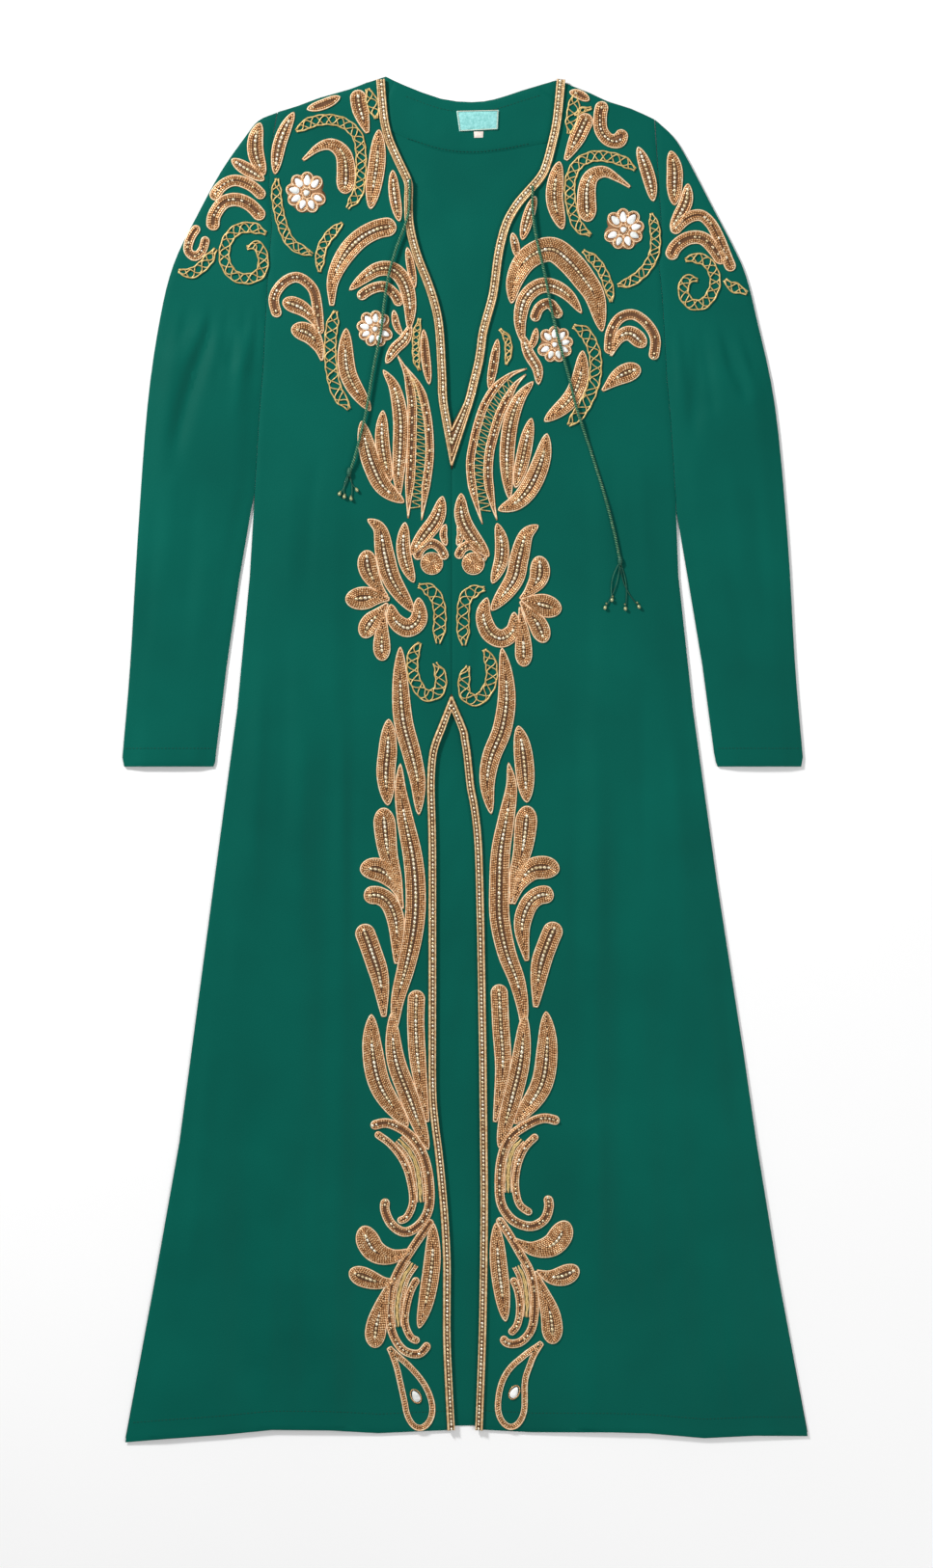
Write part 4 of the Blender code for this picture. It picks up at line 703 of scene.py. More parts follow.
def half_width(kind, t, width, length):
    """Half the motif's width at a share t of its spine."""
    half = width / 2
    start, end = caps_of(kind, width, length)
    if start and t < start:
        return half * math.sqrt(max(1.0 - ((start - t) / start) ** 2, 0.0))
    if end and t > 1.0 - end:
        return half * math.sqrt(max(1.0 - ((t - 1.0 + end) / end) ** 2, 0.0))
    if kind == "leaf":
        return half * max(1.0 - abs(2.0 * t - 1.0) ** LEAF_FULL, 0.0) ** LEAF_POINT
    if kind == "slim":
        return half * min(1.0, 4.0 * t + SLIM_TIP, 4.0 * (1.0 - t) + SLIM_TIP)
    if kind == "drop":
        swell = math.sin(math.pi / 2 * t / (1.0 - end)) ** 1.3
        return half * (DROP_ROOT + (1.0 - DROP_ROOT) * swell)
    if kind == "hook":
        return half * (1.0 - HOOK_LOSS * max((t - HOOK_FROM) / (1.0 - HOOK_FROM), 0.0) ** 1.5)
    return half


def folds_at(points, folds):
    """Share of the rise that the troughs leave."""
    share = np.ones(len(points))
    for width, depth, path in folds:
        gap, along = distance_to(points, smooth_path(path, 4))
        ends = ramp(along, 0.0, 0.22) * (1.0 - 0.8 * ramp(along, 0.75, 1.0))
        share *= 1.0 - depth * np.exp(-(gap / width) ** 2) * ends
    return share


def front_lift(points, side):
    """How far the front rises off the back: none under the embroidery, softly in the free cloth."""
    x, y = np.abs(points[:, 0]), points[:, 1]
    edge = [*armhole(side)[1:], *column(SIDE, side)]
    gap, _ = distance_to(points, edge)
    high = FOLD_RISE * (1.0 - FOLD_LESS_HIGH * (1.0 - ramp(-y, -300, 0)))
    zone = ramp(x, *FOLD_BORDER) * (1.0 - ramp(y, *FOLD_TOP)) * ramp(gap, 0, FOLD_SIDE)
    hem = 1.0 - FOLD_LESS_HEM * (1.0 - ramp(y, *FOLD_HEM))
    return high * zone * hem * folds_at(points, SKIRT_FOLDS[side])


def sleeve_lift(points, side):
    """How far the sleeve's upper cloth rises off its lower cloth."""
    y = points[:, 1]
    edge = [*sleeve_inner(side)[::-1], *armhole(side)[::-1], *smooth_path(SLEEVE_OUTER[side], 2)]
    gap, _ = distance_to(points, edge)
    top = SLEEVE_FOLD_TOP[side]
    high = SLEEVE_RISE * (0.35 + 0.65 * ramp(y, *SLEEVE_GROWS)) * (1.0 - ramp(y, top - SLEEVE_FADE, top))
    away = ramp(y, CUFF_Y - 2, 70)
    mouth = CUFF_MOUTH * (1.0 - ramp(y, CUFF_Y, 60)) * ramp(gap, 3, SLEEVE_EDGE)
    return high * ramp(gap, 0, SLEEVE_EDGE) * away * folds_at(points, SLEEVE_FOLDS[side]) + mouth


def armhole(side):
    return [SHOULDER[side][-1], *side_path(ARMHOLE, MIRROR, side)]


def sleeve_inner(side):
    """From the armpit to the cuff."""
    start = armhole(side)[-1]
    return [(start[0] + side * SEAM * 2, start[1] - 1.0), *column(SLEEVE_INNER, side)]


def edge_of(rows, side, out):
    """An edge of the neck opening or the slit from its top down, moved outward from the opening."""
    edge = offset(smooth_path(column(rows, side), 2), side * out)
    return [tuple(point) for point in edge]


def seam_x(side):
    return CENTRE_SEAM_X + side * SEAM / 2


def front_outline(side):
    """One front, from the neck point along the shoulder, down the side and back up the middle."""
    slit = edge_of(SLIT_EDGE, side, UNDER_TRIM)
    slit[-1] = (slit[-1][0], hem_y(slit[-1][0]))
    hem = [row for row in HEM if (row[0] - slit[-1][0]) * side > 8]
    hem.sort(key=lambda row: -row[0] * side)
    return [
        *smooth_path(SHOULDER[side], 2),
        *armhole(side)[1:],
        *column(SIDE, side)[1:-1],
        *hem,
        *slit[::-1],
        (seam_x(side), SLIT_TIP[0] + 4),
        (seam_x(side), NECK_TIP[0] - 4),
        *edge_of(NECK_EDGE, side, UNDER_TRIM)[::-1],
    ]


def back_outline():
    """The back: neck, right shoulder, right side, hem and the left side again."""
    right = [*SHOULDER[1], *armhole(1)[1:], *column(SIDE, 1)[1:-1]]
    left = [*SHOULDER[-1], *armhole(-1)[1:], *column(SIDE, -1)[1:-1]]
    hem = [(x, y + BACK_HEM_RISE) for x, y in HEM[::-1]]
    return [*smooth_path(BACK_NECK, 2), *smooth_path(right[:5], 2), *right[5:], *hem, *left[:4:-1],
            *smooth_path(left[:5], 2)[::-1]]


def grid_points(outline, step, margin):
    """Points on a grid inside the outline, a margin away from its edge."""
    low, high = np.min(outline, axis=0), np.max(outline, axis=0)
    across, up = [np.arange(low[axis] + step / 2, high[axis], step) for axis in (0, 1)]
    spots = np.array([(x, y) for y in up for x in across])
    spots = spots[inside(spots, outline)]
    gap, _ = distance_to(spots, [*outline, outline[0]])
    return spots[gap > margin]


def triangulate(outline, spots):
    """Triangles of the area inside the outline, with the spots as corners."""
    corners = [tuple(point) for point in [*outline, *spots]]
    found = delaunay_2d_cdt(corners, [], [list(range(len(outline)))], 1, 0.01)
    places = np.array([tuple(point) for point in found[0]])
    return places, [list(face) for face in found[2]]


def rim_of(faces):
    """The corners round the edge of a patch of faces, in order."""
    follows = {}
    once = set()
    for face in faces:
        for a, b in zip(face, face[1:] + face[:1]):
            once.add((a, b))
    for a, b in once:
        if (b, a) not in once:
            follows[a] = b
    start = min(follows)
    rim = [start]
    while follows[rim[-1]] != start:
        rim.append(follows[rim[-1]])
    return rim


def area_of(loop):
    """Signed area, above zero where the loop runs anticlockwise."""
    return sum(ax * by - bx * ay for (ax, ay), (bx, by) in zip(loop, loop[1:] + loop[:1])) / 2


def matching(places, targets):
    """The corner at each target place."""
    return [int(np.argmin(np.hypot(*(places - target).T))) for target in targets]


def turned(points, angle):
    """Flat points turned in the plane."""
    c, s = math.cos(angle), math.sin(angle)
    return np.stack([c * points[:, 0] - s * points[:, 1], s * points[:, 0] + c * points[:, 1]], axis=1)


def polar(x, y, reach, turns):
    """Points at a reach and a turn round x, y."""
    return np.stack([x + reach * np.cos(turns), y + reach * np.sin(turns)], axis=1)


def full_turn(count):
    return 2.0 * math.pi * np.arange(count) / count


def ring_quads(rows, sides, closed=False, flip=False):
    """Faces between rows of points that go round a body; a closed body's last row meets its first."""
    i = np.arange(rows if closed else rows - 1)[:, None]
    j = np.arange(sides)[None, :]
    next_i, next_j = (i + 1) % rows, (j + 1) % sides
    corners = [i * sides + j, next_i * sides + j, next_i * sides + next_j, i * sides + next_j]
    if flip:
        corners = [corners[0], *corners[:0:-1]]
    return np.stack(corners, axis=-1).reshape(-1, 4)


def string_spots(line, closed, pitch, least, parts):
    """Even points along a line, with so many parts to each bead or turn of the pitch."""
    line = np.asarray(line, float)
    if closed:
        line = np.vstack([line, line[:1]])
    places = run_lengths(line)
    count = parts * max(least, round(places[-1] / pitch))
    return spots_on(line, places, np.linspace(0.0, places[-1], count + 1))


class Batch:
    """Points, faces and tones of many small bodies that become one mesh."""

    def __init__(self):
        self.points = []
        self.quads = []
        self.others = []
        self.tones = []
        self.count = 0

    def add(self, points, quads, others=(), tones=0.5):
        points = np.asarray(points, float).reshape(-1, 3)
        self.points.append(points)
        self.tones.append(np.broadcast_to(np.asarray(tones, float), len(points)))
        if len(quads):
            self.quads.append(np.asarray(quads, int) + self.count)
        self.others += [[int(i) + self.count for i in face] for face in others]
        self.count += len(points)

    def wrap(self, line, reach, turns, tones, closed=False):
        """A body round a line; reach gives its radius at each point of the line and each turn."""
        if closed:
            run = np.roll(line, -1, axis=0) - np.roll(line, 1, axis=0)
        else:
            run = np.gradient(line, axis=0)
        run /= np.maximum(np.linalg.norm(run, axis=1), TINY)[:, None]
        aside = np.cross(run, UP)
        aside /= np.maximum(np.linalg.norm(aside, axis=1), TINY)[:, None]
        over = np.cross(aside, run)
        across = np.cos(turns)[None, :, None] * aside[:, None, :]
        upward = np.sin(turns)[None, :, None] * over[:, None, :]
        rings = line[:, None, :] + reach[..., None] * (across + upward)
        count, sides = reach.shape
        caps = [] if closed else [range(sides), range(count * sides - 1, (count - 1) * sides - 1, -1)]
        self.add(rings, ring_quads(count, sides, closed), caps, tones)

    def tube(self, line, radii, tones, sides=5, closed=False):
        """A round cord along a line, thick and thin as its radii say."""
        line = np.asarray(line, float)
        radii = np.broadcast_to(np.asarray(radii, float), len(line))
        tones = np.broadcast_to(np.asarray(tones, float), len(line))
        turns = 2.0 * math.pi * (np.arange(sides) + 0.5) / sides
        self.wrap(line, np.repeat(radii[:, None], sides, axis=1), turns, np.repeat(tones, sides), closed)

    def seeds(self, line, closed, radius=SEED, pitch=SEED_PITCH, sides=5):
        """A string of seed beads: a thick ring of random pale tone on each bead, and a thin ring between,
        dark with painted shade.
        """
        spots = string_spots(line, closed, pitch, 3, 2)
        on_bead = np.arange(len(spots)) % 2
        radii = np.where(on_bead, 1.0, SEED_WAIST) * radius
        # Painted shade: the thin rings between beads take a dark tone
        tones = np.where(on_bead, DRAW.uniform(0.45, 1.0, len(spots)), SEED_PAINTED_SHADE)
        keep = len(spots) - closed
        self.tube(spots[:keep], radii[:keep], tones[:keep], sides, closed)

    def cord(self, line, closed, radius, pitch=1.7, sides=5):
        """A twisted cord: its tone goes light and dark along it."""
        spots = string_spots(line, closed, pitch, 4, 1)
        tones = DRAW.uniform(0.35, 0.9, len(spots))
        radii = radius * DRAW.uniform(0.93, 1.07, len(spots))
        keep = len(spots) - closed
        self.tube(spots[:keep], radii[:keep], tones[:keep], sides, closed)

    def balls(self, centres, angles, sizes, tones):
        """Beads: round bodies of a length, width and height, turned in the plane."""
        template, quads, caps = ball()
        for centre, angle, size, tone in zip(centres, angles, sizes, tones):
            spots = template * np.asarray(size, float)
            self.add(np.column_stack([turned(spots, angle), spots[:, 2]]) + centre, quads, caps, tone)

    def stone(self, centre, angle, length, width, rise):
        """A cut stone, fuller at one end: girdle, sloped facets and a flat table."""
        turns = full_turn(STONE_SIDES)
        wide = np.abs(np.sin(turns)) * (1.0 - 0.32 * np.cos(turns))
        outline = np.stack([length / 2 * np.cos(turns), width / 2 * np.sign(np.sin(turns)) * wide], axis=1)
        layers = []
        for scale, height in ((0.92, 0.0), (1.0, 0.4 * rise), (0.56, rise)):
            heights = np.full(STONE_SIDES, centre[2] + height)
            layers.append(np.column_stack([turned(outline * scale, angle) + centre[:2], heights]))
        self.stack(layers, DRAW.uniform(0.3, 1.0))

    def stack(self, layers, tone):
        """A low body of stacked rings, closed below the first and over the last."""
        count = len(layers[0])
        last = len(layers) * count
        caps = [range(count - 1, -1, -1), range(last - count, last)]
        self.add(np.vstack(layers), ring_quads(len(layers), count, flip=True), caps, tone)

    def finish(self, name, key, slot, smooth=True):
        """The piece itself, in metres, with its tones on its points."""
        mesh = bpy.data.meshes.new(name)
        quads = np.vstack(self.quads).tolist() if self.quads else []
        mesh.from_pydata((np.vstack(self.points) * MM).tolist(), [], quads + self.others)
        tone = mesh.attributes.new("tone", "FLOAT", "POINT")
        tone.data.foreach_set("value", np.concatenate(self.tones))
        if smooth:
            mesh.shade_smooth()
        return place_piece(name, mesh, key)


def ball():
    """A unit ball: points, quads and end caps."""
    segments, rows = 8, 3
    points = [(0.0, 0.0, 1.0)]
    for tilt in math.pi * (np.arange(rows) + 1) / (rows + 1):
        ring = polar(0.0, 0.0, math.sin(tilt), full_turn(segments))
        points += [(x, y, math.cos(tilt)) for x, y in ring]
    points.append((0.0, 0.0, -1.0))
    last = len(points) - 1
    caps = []
    for j in range(segments):
        k = (j + 1) % segments
        caps += [(0, 1 + j, 1 + k), (last, last - segments + k, last - segments + j)]
    return np.array(points), ring_quads(rows, segments) + 1, caps


def place_piece(name, mesh, key):
    mesh.materials.append(FINISH[key])
    piece = bpy.data.objects.new(name, mesh)
    bpy.context.scene.collection.objects.link(piece)
    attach(piece, "root")
    return piece


# Paths of closed loops

def path_length(path):
    """Length of the smooth curve through the points."""
    return float(run_lengths(smooth_path(path, PATH_STEPS))[-1])


def even_ring(loop, step):
    """A closed loop cut into equal pieces of about the step."""
    loop = np.vstack([loop, loop[:1]])
    places = run_lengths(loop)
    count = max(8, round(places[-1] / step))
    return spots_on(loop, places, np.linspace(0.0, places[-1], count + 1)[:-1])


def inset(loop, distance):
    """The closed loop moved inward, less the stretches where it would fold over itself."""
    ring = even_ring(loop, 1.1)
    ahead = np.roll(ring, -1, axis=0) - np.roll(ring, 1, axis=0)
    ahead /= np.maximum(np.hypot(*ahead.T), TINY)[:, None]
    inward = np.stack([-ahead[:, 1], ahead[:, 0]], axis=1)
    if area_of([tuple(point) for point in ring]) < 0:
        inward = -inward
    moved = ring + inward * distance
    gap, _ = distance_to(moved, np.vstack([ring, ring[:1]]))
    return moved[(gap > distance * 0.94 - 0.04) & inside(moved, ring)]


# Surfaces

def creases_at(points, rows):
    """Small ridges and troughs that fade at both ends."""
    rise = np.zeros(len(points))
    for width, height, path in rows:
        gap, along = distance_to(points, smooth_path(path, 4))
        rise += height * np.exp(-(gap / width) ** 2) * ramp(along, 0.0, 0.3) * (1.0 - ramp(along, 0.7, 1.0))
    return rise


def front_top(points, side):
    return FRONT_TOP + front_lift(points, side) + CREASE_SCALE * creases_at(points, FRONT_CREASES[side])


def sleeve_top(points, side):
    free = 1.0 - ramp(points[:, 1], SLEEVE_FOLD_TOP[side] - 30, SLEEVE_FOLD_TOP[side])
    rise = CREASE_SCALE * free * creases_at(points, SLEEVE_CREASES[side])
    return FRONT_TOP + sleeve_lift(points, side) + rise


def plain_top(points, side):
    return np.full(len(points), FRONT_TOP)


def net_top(points, side):
    """Nets cross the armhole seam, so they follow the front inside it and the sleeve beyond it."""
    seam = armhole(side)[::-1]
    seam_at = np.interp(points[:, 1], [row[1] for row in seam], [row[0] for row in seam])
    beyond = (points[:, 0] - seam_at) * side > 0
    return np.where(beyond, sleeve_top(points, side), front_top(points, side))


def placer(top_of, side):
    """A function that puts flat points on a surface of one side, a rise above it."""
    def place(flat, rise):
        flat = np.asarray(flat, float)
        return np.column_stack([flat, top_of(flat, side) + rise])
    return place


def rounded_edge(places, outline):
    gap, _ = distance_to(places, [*outline, outline[0]])
    return EDGE_DROP * (1.0 - ramp(gap, 0.0, EDGE_ROUND))


def cloth_mesh(name, points, faces):
    mesh = bpy.data.meshes.new(name)
    mesh.from_pydata([tuple(value * MM for value in point) for point in points], [], faces)
    mesh.shade_smooth()
    mesh.set_sharp_from_angle(angle=math.radians(48))
    return mesh


def level(height):
    """A flat surface at a height."""
    return lambda spots: np.full(len(spots), height)


def sheet_between(name, outline, steps, top_of, low_of, key):
    """A cloth wall with a fine upper side and a plainer lower side, joined round its edge."""
    step, low_step = STEPS[steps]
    spots = grid_points(outline, step, step * 0.45)
    places, faces = triangulate(outline, spots)
    top = np.column_stack([places, top_of(places) - rounded_edge(places, outline)])
    rim = rim_of(faces)
    edge = top[rim][:, :2]
    inner = grid_points(edge, low_step, low_step * 0.5)
    low, low_faces = triangulate(edge, inner)
    points = [*map(tuple, top), *[(x, y, z) for (x, y), z in zip(low, low_of(low))]]
    base = len(top)
    low_rim = matching(low, edge)
    faces = [*faces, *[[base + i for i in reversed(face)] for face in low_faces]]
    for i in range(len(rim)):
        j = (i + 1) % len(rim)
        faces.append([rim[i], base + low_rim[i], base + low_rim[j], rim[j]])
    return place_piece(name, cloth_mesh(name, points, faces), key)


def declare_sheet(outline):
    """The flat outline's box and area, worked out here and not used."""
    low, high = np.min(outline, axis=0), np.max(outline, axis=0)
    area = abs(area_of([tuple(point) for point in outline])) * MM * MM


def opening_loops():
    """The neck opening and the slit, as closed loops."""
    neck = [*edge_of(NECK_EDGE, -1, 0.0), (CENTRE_SEAM_X, NECK_TIP[0]), *edge_of(NECK_EDGE, 1, 0.0)[::-1]]
    slit = [*edge_of(SLIT_EDGE, -1, 0.0)[::-1], (CENTRE_SEAM_X, SLIT_TIP[0]), *edge_of(SLIT_EDGE, 1, 0.0)]
    return neck, slit


def back_top(points):
    rise = np.zeros(len(points))
    for loop in opening_loops():
        gap, _ = distance_to(points, loop)
        rise += np.where(inside(points, loop), ramp(gap, 1.0, 8.0), 0.0)
    return BACK_TOP + rise * (creases_at(points, BACK_CREASES) + 0.25)


# Cloth

def make_back_cloth():
    outline = back_outline()
    piece = sheet_between("back_cloth", outline, "back", back_top, level(0.0), "crepe")
    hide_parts("back")
    declare_sheet(outline)


def make_front_cloth(side, word):
    outline = front_outline(side)
    name = "front_%s_cloth" % word
    piece = sheet_between(
        name, outline, "front", lambda places: front_top(places, side),
        lambda low: FRONT_INNER + INNER_SHARE * front_lift(low, side), "crepe"
    )
    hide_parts("front_" + word)
    declare_sheet(outline)


def make_sleeve_cloth(side, word):
    """A flattened tube: its slot runs through from the armhole to the cuff."""
    seam = [tuple(point) for point in offset(armhole(side), side * SEAM)]
    seam[0] = (SLEEVE_OUTER[side][0][0], SLEEVE_OUTER[side][0][1])
    inner = sleeve_inner(side)
    outer = smooth_path(SLEEVE_OUTER[side], 4)
    x_in, x_out = inner[-1][0], outer[-1][0]
    cuff = [(x_in + (x_out - x_in) * share, CUFF_Y) for share in CUFF_SHARES]

    def toward(a, b):
        a, b = np.array(a), np.array(b)
        return tuple(a + (b - a) * TURN / np.hypot(*(b - a)))

    seam = [seam[0], toward(seam[0], seam[1]), *seam[1:-1], toward(seam[-1], seam[-2]), seam[-1]]
    outline = [*seam, *inner[1:], *cuff, *outer[1:][::-1]]
    if side > 0:
        outline = outline[::-1]
    low_side = offset(inner, side * TURN)
    high_side = offset(outer, -side * TURN)
    slot = [*seam[1:-1], *low_side[1:], *cuff[1:-1], *high_side[1:-1][::-1]]
    step, low_step = STEPS["sleeve"]
    fine = grid_points(outline, step, 1.4)
    plain = grid_points(slot, low_step, 6.0)
    sheets = [triangulate(outline, fine), triangulate(outline, []), triangulate(slot, []),
              triangulate(slot, plain)]
    top_places = sheets[0][0]
    heights = [
        sleeve_top(top_places, side) - rounded_edge(top_places, outline),
        np.zeros(len(sheets[1][0])),
        np.full(len(sheets[2][0]), BACK_TOP),
        FRONT_INNER + INNER_SHARE * sleeve_lift(sheets[3][0], side),
    ]
    starts = np.cumsum([0] + [len(sheet[0]) for sheet in sheets])
    points, faces = [], []
    for layer, (places, patch) in enumerate(sheets):
        points += [(x, y, z) for (x, y), z in zip(places, heights[layer])]
        down = layer in (1, 3)
        faces += [[int(starts[layer]) + i for i in (reversed(face) if down else face)] for face in patch]

    def corner(layer, place):
        return int(starts[layer]) + matching(sheets[layer][0], [place])[0]

    def key(place):
        return tuple(np.round(place, 6))

    mouth = {key(point) for point in [*seam[1:-1], *cuff[1:-1]]}
    open_pairs = {frozenset((key(a), key(b)))
                  for a, b in [*zip(seam[1:-2], seam[2:-1]), *zip(cuff[1:-2], cuff[2:-1])]}
    for a, b in zip(outline, outline[1:] + outline[:1]):
        if frozenset((key(a), key(b))) in open_pairs:
            faces.append([corner(1, a), corner(1, b), corner(2, b), corner(2, a)])
            faces.append([corner(3, a), corner(3, b), corner(0, b), corner(0, a)])
            continue
        wall = [corner(1, a), corner(1, b)]
        if key(b) in mouth:
            wall += [corner(2, b), corner(3, b)]
        wall += [corner(0, b), corner(0, a)]
        if key(a) in mouth:
            wall += [corner(3, a), corner(2, a)]
        faces.append(wall)
    for a, b in zip(slot, slot[1:] + slot[:1]):
        if frozenset((key(a), key(b))) not in open_pairs:
            faces.append([corner(2, a), corner(2, b), corner(3, b), corner(3, a)])
    name = "sleeve_%s_cloth" % word
    piece = place_piece(name, cloth_mesh(name, points, faces), "crepe")
    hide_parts("sleeve_" + word)
    declare_sheet(outline)


def facing_outline():
    left = [point for point in edge_of(NECK_EDGE, -1, 0.5) if point[1] > FACING_ARC[0][1]]
    right = [point for point in edge_of(NECK_EDGE, 1, 0.5) if point[1] > FACING_ARC[-1][1]]
    top = [(x, y - 0.6) for x, y in smooth_path(BACK_NECK, 2) if left[0][0] + 4 < x < right[0][0] - 4]
    arc = smooth_path(FACING_ARC, 2)
    below = top[0][1] - 8
    return [*top, *[(x, y) for x, y in right if y < below], *arc[::-1][1:-1],
            *[(x, y) for x, y in left[::-1] if y < below]]


def make_neck_cloth():
    outline = facing_outline()
    low = FRONT_INNER

    def facing_top(places):
        return low + FACING_THICK + creases_at(places, FACING_CREASES)

    piece = sheet_between("neck_facing_cloth", outline, "facing", facing_top, level(low), "crepe")
    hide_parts("back_neck_facing")
    declare_sheet(outline)
    base = low + FACING_THICK + LAYER_GAP

    def label_top(places):
        ripple = 0.25 * np.sin(places[:, 0] * 0.42) * ramp(-places[:, 1], -662, -652)
        return base + LABEL_THICK + ripple

    piece = sheet_between("neck_label", LABEL, "label", label_top, level(base), "label")
    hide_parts("label")
    declare_sheet(LABEL)
    piece = sheet_between("size_label", SIZE_TAB, "tab", level(base + LABEL_THICK * TAB_SHARE), level(base),
                          "tab")
    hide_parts("size_tab")
    edging = Batch()
    rim = even_ring(np.array(LABEL, float), 1.1)
    middle = np.mean(np.array(LABEL, float), axis=0)
    wave = 0.955 + 0.02 * np.where(np.arange(len(rim)) % 2, 1.0, -1.0)
    line = middle + (rim - middle) * wave[:, None]
    edging.tube(np.column_stack([line, label_top(line) + 0.12]), 0.38, 0.8, sides=4, closed=True)
    edging.finish("label_edging", "cream", "label_cloth")


# Applique

def fine_motif(kind, width, path):
    """Spine, unit normals, half widths and length of a motif, its stations close together at its ends."""
    length = path_length(path)
    spine = even_path(path, SPINE_STEPS)
    half = np.array([half_width(kind, float(share), width, length) for share in STATIONS])
    known = np.linspace(0.0, 1.0, SPINE_STEPS + 1)
    return spots_on(spine, known, STATIONS), spots_on(normals_of(spine), known, STATIONS), half, length


def outline_of(spot, aside, half):
    """The closed outline of a motif, up its left side and back down its right."""
    reach = aside * half[:, None]
    return np.vstack([spot + reach, (spot - reach)[::-1]])


def pad_rise(depth):
    return PAD_RISE * ramp(depth, -0.4, PAD_EDGE)


def pad_motif(batch, spot, aside, half, place):
    """A low padded body under the rows of a motif, its tone darkening from the edge inward as painted
    shade.
    """
    half = np.maximum(half, 0.06)
    across = np.array([-1.0, -0.7, 0.0, 0.7, 1.0])
    columns = len(across)
    rows = len(spot)
    flat = spot[:, None, :] + aside[:, None, :] * (half[:, None] * across[None, :])[..., None]
    depth = half[:, None] * (1.0 - np.abs(across))[None, :]
    rise = np.where(np.abs(across)[None, :] == 1.0, PAD_LIP, pad_rise(depth))
    points = place(flat.reshape(-1, 2), rise.reshape(-1))
    i = np.arange(rows - 1)[:, None] * columns
    j = np.arange(columns - 1)[None, :]
    top = np.stack([i + j, i + columns + j, i + columns + j + 1, i + j + 1], axis=-1).reshape(-1, 4)
    i = i[:, 0]
    under = np.stack([i, i + columns - 1, i + 2 * columns - 1, i + columns], axis=-1)
    last = columns * rows
    if area_of([tuple(flat[k // columns, k % columns]) for k in top[0]]) < 0:
        top, under = top[:, ::-1], under[:, ::-1]
        ends = [range(columns), range(last - 1, last - columns - 1, -1)]
    else:
        ends = [range(columns - 1, -1, -1), range(last - columns, last)]
    # Painted shade: the pad's tone falls from its edge to its middle, which shows between and inside the
    # bead rows
    tones = np.clip(1.0 - depth / PAD_PAINTED_SHADE, 0.0, 1.0)
    batch.add(points, np.vstack([top, under]), ends, tones.reshape(-1))


def bead_motif(work, kind, width, path, place, open_middle):
    """Rows of seed beads from the edge in, and gold beads along the middle of a wide motif."""
    spot, aside, half, length = fine_motif(kind, width, path)
    outline = outline_of(spot, aside, half)
    pad_motif(work["fill"], spot, aside, half, place)
    edge = inset(outline, OUTLINE_CORD)
    work["outline"].cord(place(edge, pad_rise(OUTLINE_CORD) + CORD_RISE), True, OUTLINE_CORD)
    widest = float(np.max(half))
    last = widest - (SLOT_HALF if open_middle else 0.4)
    depth = OUTLINE_CORD + ROW_STEP
    while depth + SEED < last:
        row = inset(outline, depth)
        if len(row) < 7:
            break
        work["seeds"].seeds(place(row, pad_rise(depth) + SEED_RISE), True)
        depth += ROW_STEP
    depth -= ROW_STEP
    count = int(length / GOLD_PITCH)
    for i in range(count):
        share = (i + 0.5) / count
        room = half_width(kind, share, width, length) - depth - SEED
        keep = DRAW.random()
        if open_middle and room < 0.9 or not open_middle and (room < 0.2 or keep > 0.45):
            continue
        here = spots_on(spot, STATIONS, share)
        lean = spots_on(aside, STATIONS, share)
        size = GOLD * (DRAW.uniform(0.85, 1.1) if open_middle else DRAW.uniform(0.6, 0.85))
        rise = PAD_RISE + (0.3 if open_middle else 0.9)
        centre = place(here[None, :], rise)[0]
        angle = math.atan2(-lean[0], lean[1])
        form = (size * 1.15, size * 0.9, size * 0.85)
        work["gold"].balls([centre], [angle], [form], [DRAW.uniform(0.3, 1.0)])


def bead_disc(work, x, y, radius, place, side):
    """A scroll: one string wound in from the edge to an open middle."""
    turns = np.linspace(0.0, 2.0 * math.pi * (radius - 2.4) / ROW_STEP, 90)
    reach = radius - 0.9 - ROW_STEP * turns / (2.0 * math.pi)
    work["seeds"].seeds(place(polar(x, y, reach, 0.6 + side * turns), 1.0), False)
    rim = polar(x, y, radius - 0.2, full_turn(DISC_SIDES))
    work["outline"].cord(place(rim, 0.6), True, 0.6)
    pad_round(work["fill"], x, y, np.full(DISC_SIDES, radius - 0.3), place)


def pad_round(batch, x, y, reach, place):
    """A low padded body with the given reach in each direction."""
    turns = full_turn(len(reach))
    batch.stack([place(polar(x, y, share * reach, turns), rise)
                 for share, rise in ROUND_PAD], 0.45)


